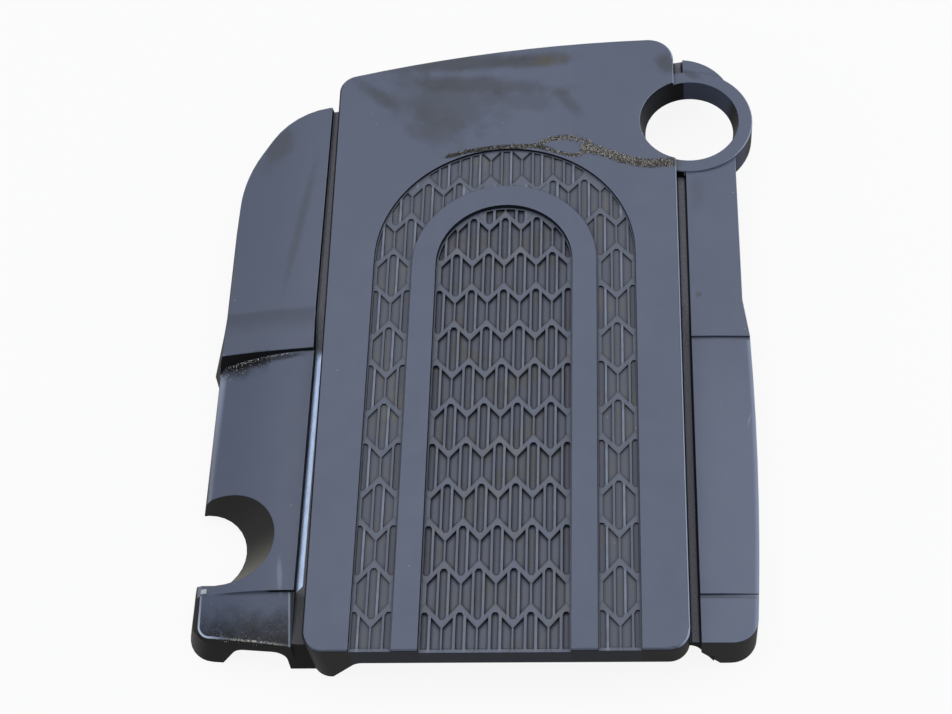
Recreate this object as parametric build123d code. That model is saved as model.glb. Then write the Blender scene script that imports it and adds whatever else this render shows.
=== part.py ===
"""Engine cover: one moulded plastic shell with a honeycomb relief, on three push-in rubber grommets.

Millimetres. While it is drawn, X = 0 is the middle of the centre plate, Y = 0 its front edge, with +Y
towards the rear, and Z = 0 the plane that the feet stand on. The finished cover is moved so that its
origin is the bottom centre of its box.
"""

from build123d import *
from math import cos, pi, radians, sin, tan
import os

# Moulding
COVER_HEIGHT = 50.0
WALL = 2.8
EDGE_CHAMFER = 1.3
OPEN_BELOW = 1.0
FUNNEL_FACETS = 32

# Centre plate
PLATE_FRONT_WIDTH = 271.0
PLATE_LEFT_FLARE = 5.8
PLATE_RIGHT_FLARE = 0.3
PLATE_LEFT_LENGTH = 507.5
PLATE_RIGHT_LENGTH = 538.5
REAR_EDGE_BOW = 9.0
FRONT_CORNER = 15.0
REAR_LEFT_CORNER = 16.0
REAR_RIGHT_CORNER = 21.0

# Grooves beside the plate, and the deck that is their floor
LEFT_WING_EDGE = 146.4
RIGHT_WING_EDGE = 143.3
GROOVE_REAR_DEPTH = 11.0
GROOVE_FRONT_DEPTH = 20.0
GROOVE_FRONT_END = 13.0
GROOVE_FRONT_FOOT = 6.0
GROOVE_LEFT_REAR_END = 480.0
GROOVE_RIGHT_REAR_END = 522.0
DECK_TUCK = 9.0

# Crease across both wings, and the step of the left one and of the grooves
CREASE_AT = 284.5
STEP_AT = 252.0
RAMP_FALL = 5.0

# Left wing
LEFT_REACH = 228.0
LEFT_DRAFT = 16.0
LEFT_REAR_END = 494.5
SHOULDER_WIDTH = 44.2
SHOULDER_SLOPE = 61.0
SHOULDER_REAR_RADIUS = 75.5
SHOULDER_SIDE_RADIUS = 122.0
KNUCKLE = 4.5
KNUCKLE_LENGTH = 48.0
KNUCKLE_RETURN = 11.0
LEFT_CORNER_FACETS = 7
LEFT_FRONT_OUTER = 13.0
LEFT_FRONT_INNER = 7.0
LEFT_FRONT_CORNER = 20.0
LEFT_FRONT_DRAFT = 7.0
LEFT_UPPER_DEPTH = 4.0
LEFT_UPPER_RADIUS = 560.0
LEFT_CREST_INSET = 7.0
LEFT_STEP_SKEW = 4.5
LEFT_STEP_DROP = 3.0
LEFT_STEP_RUN = 7.0
LEFT_STEP_FALL = 15.0
LEFT_LOWER_RADIUS = 190.0
BROW_INSET = 11.5
BROW_SLOPE = 47.0
BOX_AT = 51.5
BOX_DROP = 3.5
BOX_RADIUS = 330.0
BOX_FALL = 6.0

# Notch in the left wing, a slanted funnel
NOTCH_Y = 94.5
NOTCH_TOP_X = -205.5
NOTCH_TOP_RADIUS = 36.2
NOTCH_TOP_DEPTH = 18.0
NOTCH_FOOT_X = -226.7
NOTCH_FOOT_RADIUS = 30.5

# Right wing
RIGHT_UPPER_REACH = 182.8
RIGHT_LOWER_REACH = 187.5
RIGHT_FRONT_REACH = 182.0
RIGHT_SIDE_BOW = 3.2
RIGHT_REAR_RADIUS = 44.0
RIGHT_REAR_END = 518.5
RIGHT_FRONT_END = 9.0
RIGHT_FRONT_CORNER = 19.0
RIGHT_UPPER_DEPTH = 4.0
RIGHT_ROOF_RADIUS = 600.0
RIGHT_STEP_AT = 255.0
RIGHT_STEP_DROP = 2.0
CHANNEL_AT = 44.0
CHANNEL_WIDTH = 3.2
CHANNEL_DEPTH = 2.0

# Filler hole with its collar
FILLER_X = 147.4
FILLER_Y = 454.0
FILLER_RADIUS = 40.0
FILLER_FOOT_RADIUS = 35.4
FILLER_TUBE_LENGTH = 20.0
COLLAR_RADIUS = 50.5
COLLAR_DEPTH = 2.5
COLLAR_LENGTH = 25.0
COLLAR_CHAMFER = 0.8
COLLAR_BAY = 8.5

# Arched windows in the plate
INNER_HALF_WIDTH = 53.3
STRIP_HALF_WIDTH = 72.2
BAND_HALF_WIDTH = 102.2
INNER_ARCH_AT = 321.2
BAND_ARCH_AT = 327.5
INNER_RECESS = 4.5
BAND_RECESS = 2.4
WINDOW_LEDGE = 1.2
FRONT_LIP = 2.6

# Honeycomb relief in the windows
COLUMN_PITCH = 25.0
ROW_PITCH = 33.5
FIRST_ROW_TOP = 30.3
SLOT_WIDTH = 5.2
SLOT_LENGTH = 39.2
SLOT_END_FACETS = 3
SLOT_RIDGE = 2.2
STEM_WIDTH = 1.6
CELL_LONG_SIDE = 31.4
CELL_SHORT_SIDE = 15.4
INNER_CELL_DEPTH = 2.8
BAND_CELL_DEPTH = 1.6
SMALLEST_CELL = 24.0

# Lower edge of the skirt
FRONT_ARCH_HEIGHT = 26.0
FRONT_ARCH_LEFT = -120.5
FRONT_ARCH_LEFT_FLANK = 21.0
FRONT_ARCH_RIGHT = 157.5
FRONT_ARCH_RIGHT_FLANK = 18.0
BOX_ARCH_HEIGHT = 20.5
BOX_ARCH_LEFT = -202.0
BOX_ARCH_LEFT_FLANK = 14.0
BOX_ARCH_RIGHT = -151.5
BOX_ARCH_RIGHT_FLANK = 1.0
SIDE_ARCH_HEIGHT = 6.0
SIDE_ARCH_FRONT = 40.0
SIDE_ARCH_REAR = 400.0
REAR_ARCH_HEIGHT = 22.0
REAR_ARCH_HALF = 105.0
ARCH_FLANK = 11.0
ARCH_ROUND = 10.0
SKIRT_CUT_DEPTH = 26.0

# Ribs and grommet seats under the plate
RIB_THICKNESS = 2.0
RIB_FOOT = 33.0
CROSS_RIBS = 3
FRONT_SEAT_X = 119.0
FRONT_SEAT_Y = 62.0
REAR_SEAT_X = -20.0
REAR_SEAT_Y = 474.0
SEAT_FOOT = 28.0
SEAT_WALL = 2.6
GROMMET_RADIUS = 8.0
GROMMET_LENGTH = 14.0
GROMMET_PROUD = 2.0
GROMMET_CLEARANCE = 0.1
STUD_BORE_RADIUS = 4.9
STUD_BORE_DEPTH = 11.0

# Derived heights and places
PLATE_TOP = COVER_HEIGHT
TALL = COVER_HEIGHT + 20.0
DEEP = -COVER_HEIGHT
LEFT_LEAN = tan(radians(LEFT_DRAFT))
UPPER_LEFT_CREST = PLATE_TOP - LEFT_UPPER_DEPTH
LOWER_LEFT_CREST = UPPER_LEFT_CREST - RAMP_FALL - LEFT_STEP_DROP
BOX_CREST = LOWER_LEFT_CREST - BOX_DROP
UPPER_RIGHT_CREST = PLATE_TOP - RIGHT_UPPER_DEPTH
LOWER_RIGHT_CREST = UPPER_RIGHT_CREST - RAMP_FALL - RIGHT_STEP_DROP
COLLAR_TOP = PLATE_TOP - COLLAR_DEPTH
INNER_LEVEL = PLATE_TOP - INNER_RECESS
BAND_LEVEL = PLATE_TOP - BAND_RECESS
LATTICE_REAR = BAND_ARCH_AT + BAND_HALF_WIDTH
GROMMET_HEAD = SEAT_FOOT - GROMMET_PROUD + GROMMET_LENGTH
SEATS = ((-FRONT_SEAT_X, FRONT_SEAT_Y), (FRONT_SEAT_X, FRONT_SEAT_Y), (REAR_SEAT_X, REAR_SEAT_Y))


def plate_left(y):
    """X of the plate's left edge at a distance from its front edge."""
    return -PLATE_FRONT_WIDTH / 2 - PLATE_LEFT_FLARE * y / PLATE_RIGHT_LENGTH


def plate_right(y):
    """X of the plate's right edge at a distance from its front edge."""
    return PLATE_FRONT_WIDTH / 2 + PLATE_RIGHT_FLARE * y / PLATE_RIGHT_LENGTH


def closed_face(*edges):
    """Flat face inside a closed chain of edges."""
    return Face(Wire(edges))


def prism(face, bottom, top):
    """Upright solid over a face drawn at Z = 0."""
    return Pos(0, 0, bottom) * Solid.extrude(face, Vector(0, 0, top - bottom))


def rounded_outline(points, radii):
    """Polygon whose corners have the given radii, with 0 for a sharp one."""
    face = make_face(Polyline(*points, close=True))
    for point, radius in zip(points, radii):
        if radius > 0:
            corner = face.vertices().sort_by_distance(Vector(*point))[0]
            face = fillet(corner, radius)
    return face.face()


def plate_outline():
    """Plan of the centre plate, with its bowed rear edge."""
    front_left = (plate_left(0), 0)
    front_right = (plate_right(0), 0)
    rear_left = (plate_left(PLATE_LEFT_LENGTH), PLATE_LEFT_LENGTH)
    rear_right = (plate_right(PLATE_RIGHT_LENGTH), PLATE_RIGHT_LENGTH)
    middle = (0, (PLATE_LEFT_LENGTH + PLATE_RIGHT_LENGTH) / 2 + REAR_EDGE_BOW)
    sides = Polyline(rear_left, front_left, front_right, rear_right)
    face = make_face([*sides.edges(), ThreePointArc(rear_left, middle, rear_right)])
    for point, radius in (
        (rear_left, REAR_LEFT_CORNER),
        (rear_right, REAR_RIGHT_CORNER),
        (front_left, FRONT_CORNER),
        (front_right, FRONT_CORNER),
    ):
        face = fillet(face.vertices().sort_by_distance(Vector(*point))[0], radius)
    return face.face()


def plate_body(inset):
    """Centre plate down to the feet, or its core when inset by the wall."""
    outline = plate_outline()
    if inset:
        outline = offset(outline, -inset).face()
    body = prism(outline, -inset, PLATE_TOP - inset)
    if inset:
        return body
    return chamfer(body.faces().sort_by(Axis.Z)[-1].edges(), EDGE_CHAMFER)


def roof(x_left, x_right, crest, crest_z, radius, y_from, y_to, fall, skew=0.0, brow=0.0):
    """Everything under one arched stretch of a wing's roof.

    The section is an arc whose crest is at X = crest, and it falls by the given height on its way.
    The skew turns the section, so that it starts further forward the further it is from the crest.
    With a brow, the section slopes off straight to the left of that X.
    """
    def surface(x):
        drop = radius - (radius ** 2 - (x - crest) ** 2) ** 0.5
        return Vector(x, y_from + skew * (x - crest), crest_z - drop)

    def foot(x):
        return Vector(x, y_from + skew * (x - crest), DEEP)

    arc_left = brow or x_left
    left, centre, right = (surface(x) for x in (arc_left, (arc_left + x_right) / 2, x_right))
    edge = [left + Vector(x_left - brow, 0, (x_left - brow) * tan(radians(BROW_SLOPE)))] if brow else []
    top = ThreePointArc(left, centre, right)
    rest = Polyline(right, foot(x_right), foot(x_left), *edge, left)
    return Solid.extrude(closed_face(*top.edges(), *rest.edges()), Vector(0, y_to - y_from, -fall))


def corner_arc(before, corner, after, radius, facets):
    """Points of a rounded corner between two straight walls; a radius of 0 keeps it sharp."""
    if radius == 0:
        return [corner]
    back = (Vector(*before) - Vector(*corner)).normalized()
    ahead = (Vector(*after) - Vector(*corner)).normalized()
    half = radians(back.get_angle(ahead)) / 2
    centre = Vector(*corner) + (back + ahead).normalized() * (radius / sin(half))
    start = Vector(*corner) + back * (radius / tan(half)) - centre
    sweep = 180 - 2 * half * 180 / pi
    turn = sweep if back.cross(ahead).Z < 0 else -sweep
    spokes = [start.rotate(Axis.Z, turn * i / facets) for i in range(facets + 1)]
    return [(centre.X + spoke.X, centre.Y + spoke.Y) for spoke in spokes]


def faceted_outline(points, radii, facets):
    """Polygon with rounded corners in even facets, so that leaning walls over it stay flat."""
    count = len(points)
    chain = [
        place
        for i in range(count)
        for place in corner_arc(points[i - 1], points[i], points[(i + 1) % count], radii[i], facets)
    ]
    return make_face(Polyline(*chain, close=True)).face()


def left_outline(height, inset):
    """Plan of the left wing at a height, with its shoulder and leaning walls, run on to the middle."""
    lean = height * LEFT_LEAN + inset
    front_lean = height * tan(radians(LEFT_FRONT_DRAFT)) + inset
    slope = radians(SHOULDER_SLOPE)
    outer = -LEFT_REACH + lean
    shoulder_rear = -LEFT_REACH + SHOULDER_WIDTH
    shoulder_side = LEFT_REAR_END - SHOULDER_WIDTH * tan(slope)
    front_rise = (LEFT_FRONT_OUTER - LEFT_FRONT_INNER) / (LEFT_REACH - LEFT_WING_EDGE)
    knuckle = outer - KNUCKLE * (1 - height / COVER_HEIGHT)
    step = STEP_AT - LEFT_STEP_SKEW
    points = (
        (0, LEFT_REAR_END - lean),
        (shoulder_rear + lean * tan(slope / 2), LEFT_REAR_END - lean),
        (outer, shoulder_side - lean * tan(pi / 4 - slope / 2)),
        (outer, step + KNUCKLE_LENGTH),
        (knuckle, step),
        (outer, step - KNUCKLE_RETURN),
        (outer, LEFT_FRONT_OUTER + front_lean),
        (0, LEFT_FRONT_INNER - LEFT_WING_EDGE * front_rise + front_lean),
    )
    rounds = (SHOULDER_REAR_RADIUS - lean, SHOULDER_SIDE_RADIUS - lean)
    radii = (0, *rounds, 0, 0, 0, LEFT_FRONT_CORNER, 0)
    return faceted_outline(points, radii, LEFT_CORNER_FACETS)


def left_body(inset):
    """Left wing down to the feet: upper roof, ramp, step, lower panel and front box, or its core."""
    foot = Pos(0, 0, -inset) * left_outline(-inset, inset)
    head = Pos(0, 0, COVER_HEIGHT) * left_outline(COVER_HEIGHT, inset)
    outer = -LEFT_REACH - KNUCKLE - WALL
    inner = -LEFT_WING_EDGE - inset
    block = loft([foot, head], ruled=True)
    crest = -LEFT_WING_EDGE - LEFT_CREST_INSET
    skew = LEFT_STEP_SKEW / (LEFT_REACH + crest)
    upper = UPPER_LEFT_CREST - inset
    ramped = upper - RAMP_FALL
    lower = LOWER_LEFT_CREST - inset
    step = STEP_AT + inset
    box_at = BOX_AT + inset
    sides = (outer, inner, crest)
    brow = -LEFT_REACH + BROW_INSET + inset / 2
    rear_end = LEFT_REAR_END + LEFT_STEP_SKEW * 2
    roofs = [
        roof(*sides, upper, LEFT_UPPER_RADIUS, rear_end, CREASE_AT, 0, skew),
        roof(*sides, upper, LEFT_UPPER_RADIUS, CREASE_AT, step, RAMP_FALL, skew),
        roof(*sides, ramped, LEFT_UPPER_RADIUS, step, step - LEFT_STEP_RUN, LEFT_STEP_FALL, skew),
        roof(*sides, lower, LEFT_LOWER_RADIUS, step, box_at, 0, brow=brow),
        roof(*sides, BOX_CREST - inset, BOX_RADIUS, box_at, 0, BOX_FALL, brow=brow),
    ]
    return (block & (roofs[0] + roofs[1:])).solid()


def right_outline(inset):
    """Plan of the right wing, rounded behind the collar and at its front corner."""
    outer = RIGHT_UPPER_REACH - inset
    lower = RIGHT_LOWER_REACH - inset
    radius = RIGHT_REAR_RADIUS - inset
    centre = (RIGHT_UPPER_REACH - RIGHT_REAR_RADIUS, RIGHT_REAR_END - RIGHT_REAR_RADIUS)
    inner = RIGHT_WING_EDGE + inset
    rear = (inner, centre[1] + (radius ** 2 - (inner - centre[0]) ** 2) ** 0.5)
    turn = radians(45)
    middle = (centre[0] + radius * cos(turn), centre[1] + radius * sin(turn))
    side = (outer, centre[1])
    step = (lower, RIGHT_STEP_AT)
    corner = (RIGHT_FRONT_REACH - inset, RIGHT_FRONT_END + inset)
    bow = ((step[0] + corner[0]) / 2 + RIGHT_SIDE_BOW, (step[1] + corner[1]) / 2)
    upper_walls = Polyline(side, (outer, CREASE_AT), step)
    lower_walls = Polyline(corner, (inner, RIGHT_FRONT_END + inset), rear)
    rounds = [ThreePointArc(rear, middle, side), ThreePointArc(step, bow, corner)]
    face = make_face([*rounds, *upper_walls.edges(), *lower_walls.edges()])
    return fillet(face.vertices().sort_by_distance(Vector(*corner))[0], RIGHT_FRONT_CORNER - inset).face()


def right_body(inset):
    """Right wing down to the feet: upper roof, ramp and lower roof, or its core."""
    block = prism(right_outline(inset), -inset, COVER_HEIGHT)
    crest = RIGHT_WING_EDGE
    inner = RIGHT_WING_EDGE - WALL
    outer = RIGHT_LOWER_REACH + RIGHT_SIDE_BOW + WALL
    upper = UPPER_RIGHT_CREST - inset
    lower = LOWER_RIGHT_CREST - inset
    step = RIGHT_STEP_AT + inset
    roofs = [
        roof(inner, outer, crest, upper, RIGHT_ROOF_RADIUS, RIGHT_REAR_END, CREASE_AT, 0),
        roof(inner, outer, crest, upper, RIGHT_ROOF_RADIUS, CREASE_AT, step, RAMP_FALL),
        roof(inner, outer, crest, lower, RIGHT_ROOF_RADIUS, step, 0, 0),
    ]
    return (block & (roofs[0] + roofs[1:])).solid()


def deck_body(inset):
    """Deck that joins plate and wings; its top is the floor of the grooves."""
    left = -LEFT_WING_EDGE - DECK_TUCK + inset
    right = RIGHT_WING_EDGE + DECK_TUCK - inset
    rear = GROOVE_RIGHT_REAR_END - inset
    outline = make_face(
        Polyline(
            (left, 0),
            (right, 0),
            (right, rear - DECK_TUCK),
            (right - DECK_TUCK, rear),
            (left, GROOVE_LEFT_REAR_END - inset),
            close=True,
        )
    ).face()
    rear_floor = PLATE_TOP - GROOVE_REAR_DEPTH - inset
    front_floor = PLATE_TOP - GROOVE_FRONT_DEPTH - inset
    lean = (GROOVE_FRONT_END - GROOVE_FRONT_FOOT) / (PLATE_TOP - GROOVE_FRONT_DEPTH)
    foot = GROOVE_FRONT_FOOT + inset
    side = closed_face(
        *Polyline(
            (left, foot, DEEP),
            (left, foot, 0),
            (left, foot + lean * front_floor, front_floor),
            (left, STEP_AT, front_floor),
            (left, CREASE_AT, rear_floor),
            (left, TALL + PLATE_RIGHT_LENGTH, rear_floor),
            (left, TALL + PLATE_RIGHT_LENGTH, DEEP),
            close=True,
        ).edges()
    )
    return (prism(outline, -inset, COVER_HEIGHT) & Solid.extrude(side, Vector(right - left, 0, 0))).solid()


def filler_radius(z):
    """Radius of the tapered filler hole at a height."""
    return FILLER_RADIUS - (PLATE_TOP - z) * (FILLER_RADIUS - FILLER_FOOT_RADIUS) / FILLER_TUBE_LENGTH


def filler_hole():
    """The hole itself, through everything below it."""
    length = TALL + OPEN_BELOW
    cone = Cone(filler_radius(-OPEN_BELOW), filler_radius(TALL), length)
    return Pos(FILLER_X, FILLER_Y, TALL - length / 2) * cone


def funnel(rings):
    """Round funnel in even facets through rings, each given as x, y, z and radius."""
    faces = [Pos(x, y, z) * RegularPolygon(radius, FUNNEL_FACETS).face() for x, y, z, radius in rings]
    return loft(faces, ruled=True)


def filler_tube():
    """The hole's wall, still without the hole."""
    heights = (PLATE_TOP - FILLER_TUBE_LENGTH, TALL)
    return funnel([(FILLER_X, FILLER_Y, z, filler_radius(z) + WALL) for z in heights])


def collar_body(inset):
    """Round collar that carries the filler hole past the right wing, or its core."""
    bottom = COLLAR_TOP - COLLAR_LENGTH
    collar = Cylinder(COLLAR_RADIUS - inset, COLLAR_LENGTH, align=(Align.CENTER, Align.CENTER, Align.MIN))
    if not inset:
        collar = chamfer(collar.faces().sort_by(Axis.Z)[-1].edges(), COLLAR_CHAMFER)
    return Pos(FILLER_X, FILLER_Y, bottom - inset) * collar


def notch_funnel(grow):
    """Slanted funnel of the left notch, from under the feet to above the roof."""
    top_z = PLATE_TOP - NOTCH_TOP_DEPTH
    shift = (NOTCH_TOP_X - NOTCH_FOOT_X) / top_z
    widening = (NOTCH_TOP_RADIUS - NOTCH_FOOT_RADIUS) / top_z
    heights = (-OPEN_BELOW, COVER_HEIGHT)
    return funnel(
        [
            (NOTCH_FOOT_X + shift * z, NOTCH_Y, z, NOTCH_FOOT_RADIUS + widening * z + grow)
            for z in heights
        ]
    )


def arch_window(half_width, arch_at, front, grow=0.0):
    """Plan of a window: straight sides and a round rear end."""
    half = half_width + grow
    walls = Polyline((-half, arch_at), (-half, front), (half, front), (half, arch_at))
    arch = ThreePointArc((half, arch_at), (0, arch_at + half), (-half, arch_at))
    return make_face([*walls.edges(), *arch.edges()]).face()


def inner_window(front, grow=0.0):
    """Plan of the inner window."""
    return arch_window(INNER_HALF_WIDTH, INNER_ARCH_AT, front, grow)


def band_window(front, grow=0.0):
    """Plan of the arched band round the inner window."""
    outside = arch_window(BAND_HALF_WIDTH, BAND_ARCH_AT, front, grow)
    inside = arch_window(STRIP_HALF_WIDTH, INNER_ARCH_AT, front - WALL, -grow)
    return outside - inside


def slot(x, top):
    """Upright slot of the relief, with rounded ends."""
    radius = SLOT_WIDTH / 2
    ends = ((0, top - radius), (pi, top - SLOT_LENGTH + radius))
    points = [
        (x + radius * cos(start + pi * i / SLOT_END_FACETS), y + radius * sin(start + pi * i / SLOT_END_FACETS))
        for start, y in ends
        for i in range(SLOT_END_FACETS + 1)
    ]
    return make_face(Polyline(*points, close=True)).face()


def side_cell(x, top, side):
    """Four-sided cell between a slot's ridge and the stem beside it."""
    near = x + side * (SLOT_WIDTH / 2 + SLOT_RIDGE)
    far = x + side * (COLUMN_PITCH - STEM_WIDTH) / 2
    middle = top - SLOT_LENGTH / 2
    points = (
        (near, middle + CELL_LONG_SIDE / 2),
        (far, middle + CELL_SHORT_SIDE / 2),
        (far, middle - CELL_SHORT_SIDE / 2),
        (near, middle - CELL_LONG_SIDE / 2),
    )
    return make_face(Polyline(*points, close=True)).face()


def lattice_cells():
    """Every cell of the honeycomb that reaches the windows, in plan."""
    rows = int((LATTICE_REAR - FIRST_ROW_TOP + SLOT_LENGTH) / ROW_PITCH) + 1
    columns = int(BAND_HALF_WIDTH / COLUMN_PITCH) + 2
    cells = []
    for row in range(rows):
        top = FIRST_ROW_TOP + row * ROW_PITCH
        shift = COLUMN_PITCH / 2 * (row % 2)
        for column in range(-columns, columns + 1):
            x = column * COLUMN_PITCH + shift
            cells += [slot(x, top), side_cell(x, top, -1), side_cell(x, top, 1)]
    return cells


def pockets(cells, window, level, depth):
    """Solids that sink the cells inside a window below its level."""
    shared = [cell & window for cell in cells]
    inside = [piece for part in shared if part for piece in part.faces()]
    kept = [piece for piece in inside if piece.area > SMALLEST_CELL]
    return [prism(piece, level - depth, TALL) for piece in kept]


def window_cuts():
    """Recesses of both windows, with the honeycomb pockets below them."""
    cells = lattice_cells()
    ledge = -WINDOW_LEDGE
    cuts = [
        prism(inner_window(-WALL), INNER_LEVEL, TALL),
        prism(band_window(-WALL).face(), BAND_LEVEL, TALL),
    ]
    cuts += pockets(cells, inner_window(FRONT_LIP, ledge), INNER_LEVEL, INNER_CELL_DEPTH)
    cuts += pockets(cells, band_window(FRONT_LIP, ledge), BAND_LEVEL, BAND_CELL_DEPTH)
    return cuts


def window_backing():
    """Stretches of the plate's core that stay solid under the windows."""
    inner_back = INNER_LEVEL - INNER_CELL_DEPTH - WALL
    band_back = BAND_LEVEL - BAND_CELL_DEPTH - WALL
    return [
        prism(inner_window(-WALL, WALL), inner_back, TALL),
        prism(band_window(-WALL, WALL).face(), band_back, TALL),
    ]


def skirt_arch(left, right, height, left_flank=ARCH_FLANK, right_flank=ARCH_FLANK):
    """Section of a cut-out in the skirt's lower edge, with leaning rounded flanks."""
    points = [
        (left, -OPEN_BELOW),
        (left + left_flank, height),
        (right - right_flank, height),
        (right, -OPEN_BELOW),
    ]
    return rounded_outline(points, (0, ARCH_ROUND, ARCH_ROUND, 0))


def skirt_cuts():
    """Cut-outs in the lower edge at the front, the rear and the left side."""
    across = Plane.XZ
    front_flanks = (FRONT_ARCH_LEFT_FLANK, FRONT_ARCH_RIGHT_FLANK)
    box_flanks = (BOX_ARCH_LEFT_FLANK, BOX_ARCH_RIGHT_FLANK)
    front = [
        across.location * skirt_arch(FRONT_ARCH_LEFT, FRONT_ARCH_RIGHT, FRONT_ARCH_HEIGHT, *front_flanks),
        across.location * skirt_arch(BOX_ARCH_LEFT, BOX_ARCH_RIGHT, BOX_ARCH_HEIGHT, *box_flanks),
    ]
    rear = across.location * skirt_arch(-REAR_ARCH_HALF, REAR_ARCH_HALF, REAR_ARCH_HEIGHT)
    side = Plane.YZ.location * skirt_arch(SIDE_ARCH_FRONT, SIDE_ARCH_REAR, SIDE_ARCH_HEIGHT)
    cuts = [Pos(0, -WALL, 0) * Solid.extrude(face, Vector(0, SKIRT_CUT_DEPTH, 0)) for face in front]
    rear_reach = Vector(0, PLATE_RIGHT_LENGTH, 0)
    cuts.append(Pos(0, PLATE_LEFT_LENGTH - SKIRT_CUT_DEPTH, 0) * Solid.extrude(rear, rear_reach))
    outside = -LEFT_REACH - KNUCKLE - WALL
    cuts.append(Pos(outside, 0, 0) * Solid.extrude(side, Vector(SKIRT_CUT_DEPTH * 2, 0, 0)))
    return cuts


def ribs(core):
    """Stiffening ribs under the plate, filling the core down to their foot."""
    height = PLATE_TOP - RIB_FOOT
    gap = PLATE_LEFT_LENGTH / (CROSS_RIBS + 1)
    middle = RIB_FOOT + height / 2
    bars = [
        Pos(0, gap * (i + 1), middle) * Box(PLATE_FRONT_WIDTH * 2, RIB_THICKNESS, height)
        for i in range(CROSS_RIBS)
    ]
    bars += [
        Pos(side * (INNER_HALF_WIDTH + STRIP_HALF_WIDTH) / 2, PLATE_RIGHT_LENGTH / 2, middle)
        * Box(RIB_THICKNESS, PLATE_RIGHT_LENGTH, height)
        for side in (-1, 1)
    ]
    return [bar & core for bar in bars]


def upright(radius, bottom, top, place):
    """Cylinder between two heights over a place in plan."""
    rod = Cylinder(radius, top - bottom, align=(Align.CENTER, Align.CENTER, Align.MIN))
    return Pos(place[0], place[1], bottom) * rod


def square_posts(half, bottom, top):
    """Square posts between two heights over the grommets' places."""
    size = (2 * half, 2 * half, top - bottom)
    return [Pos(x, y, (bottom + top) / 2) * Box(*size) for x, y in SEATS]


def seat_posts():
    """Posts under the plate that hold the grommets."""
    return square_posts(GROMMET_RADIUS + SEAT_WALL, SEAT_FOOT, PLATE_TOP - WALL / 2)


def seat_pockets():
    """Square pockets in the posts, whose walls the round grommets touch."""
    return square_posts(GROMMET_RADIUS, SEAT_FOOT - OPEN_BELOW, GROMMET_HEAD)


def cover_shell():
    """The whole moulding."""
    plate_core = plate_body(WALL) - window_backing()
    body = plate_body(0) + [left_body(0), right_body(0), deck_body(0), collar_body(0)]
    core = plate_core + [left_body(WALL), right_body(WALL), deck_body(WALL), collar_body(WALL)]
    shell = body - core
    notch_wall = notch_funnel(WALL) & left_body(0)
    tube = filler_tube() & (plate_body(0) + [right_body(0), collar_body(0)])
    shell = shell + [notch_wall, tube, *ribs(plate_core), *seat_posts()]
    bay = upright(COLLAR_RADIUS + COLLAR_BAY, -OPEN_BELOW, COLLAR_TOP - COLLAR_LENGTH, (FILLER_X, FILLER_Y))
    channel_wide = Box(RIGHT_LOWER_REACH, CHANNEL_WIDTH, CHANNEL_DEPTH * 2)
    channel = Pos(RIGHT_WING_EDGE + RIGHT_LOWER_REACH / 2, CHANNEL_AT, LOWER_RIGHT_CREST) * channel_wide
    cuts = [notch_funnel(0), filler_hole(), bay, channel, *seat_pockets(), *skirt_cuts()]
    shell = shell - cuts
    return (shell - window_cuts()).solid()


def stud_grommet(place):
    """Rubber grommet, standing proud of its post, with a blind bore for the ball stud."""
    foot = GROMMET_HEAD - GROMMET_LENGTH
    sleeve = upright(GROMMET_RADIUS - GROMMET_CLEARANCE, foot, GROMMET_HEAD, place)
    bore = upright(STUD_BORE_RADIUS, foot - OPEN_BELOW, foot + STUD_BORE_DEPTH, place)
    return (sleeve - bore).solid()


def main():
    shell = cover_shell()
    grommets = [stud_grommet(place) for place in SEATS]
    box = shell.bounding_box()
    home = Pos(-box.center().X, -box.center().Y, -box.min.Z)
    os.makedirs("parts", exist_ok=True)
    export_step(home * shell, "parts/cover_shell.step")
    export_step(Compound(children=[home * grommet for grommet in grommets]), "parts/stud_grommets.step")
    print("origin moved by", home.position)


main()
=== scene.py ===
"""Looks of a moulded engine cover: its plastic, dust, smears and grit, painted light and shade, in a plain
studio.

Lengths are metres in the cover's own frame: +X towards the filler hole, +Y towards the rear edge, +Z up,
with the origin under the middle of the cover.
"""

import logging
import random
from collections.abc import Mapping, Sequence
from dataclasses import dataclass
from enum import Enum
from math import pi, radians

import bmesh
import bpy
from mathutils import Euler, Matrix, Quaternion, Vector

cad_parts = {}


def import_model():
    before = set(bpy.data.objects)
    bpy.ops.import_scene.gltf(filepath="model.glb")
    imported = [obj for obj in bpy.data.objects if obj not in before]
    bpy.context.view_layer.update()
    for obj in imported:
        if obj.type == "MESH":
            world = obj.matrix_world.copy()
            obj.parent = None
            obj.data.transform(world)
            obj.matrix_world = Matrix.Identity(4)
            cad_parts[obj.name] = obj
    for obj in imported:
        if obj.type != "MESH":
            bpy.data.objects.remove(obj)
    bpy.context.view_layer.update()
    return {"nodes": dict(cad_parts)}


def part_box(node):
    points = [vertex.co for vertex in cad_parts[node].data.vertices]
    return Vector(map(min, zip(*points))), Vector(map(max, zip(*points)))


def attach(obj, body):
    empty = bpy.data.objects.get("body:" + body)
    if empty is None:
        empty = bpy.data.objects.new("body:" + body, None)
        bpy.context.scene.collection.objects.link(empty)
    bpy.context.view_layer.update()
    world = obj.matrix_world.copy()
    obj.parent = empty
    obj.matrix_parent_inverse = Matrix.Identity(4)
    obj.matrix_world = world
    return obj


LOG = logging.getLogger("engine_cover")
WHITE = (1.0, 1.0, 1.0, 1.0)
MM = 0.001
ROOT_BODY = "root"
SOFT = 0.5 * MM
LEVEL_REACH = 0.6 * MM
STREAK_HALF = 6 * MM

# Scales of the noises over the cover, from slow clouds to fine speckle
CLOUD_SCALE = 11.0
SWEPT_SCALE = 24.0
OLIVE_SCALE = 42.0
SMEAR_SCALE = 55.0
PATCH_SCALE = 60.0
# The next scale varies painted highlights and painted shade.
PAINTED_LIGHT_SCALE = 90.0
STREAK_SCALE = 240.0
RUBBED_SCALE = 700.0
SPECKLE_SCALE = 900.0

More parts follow.
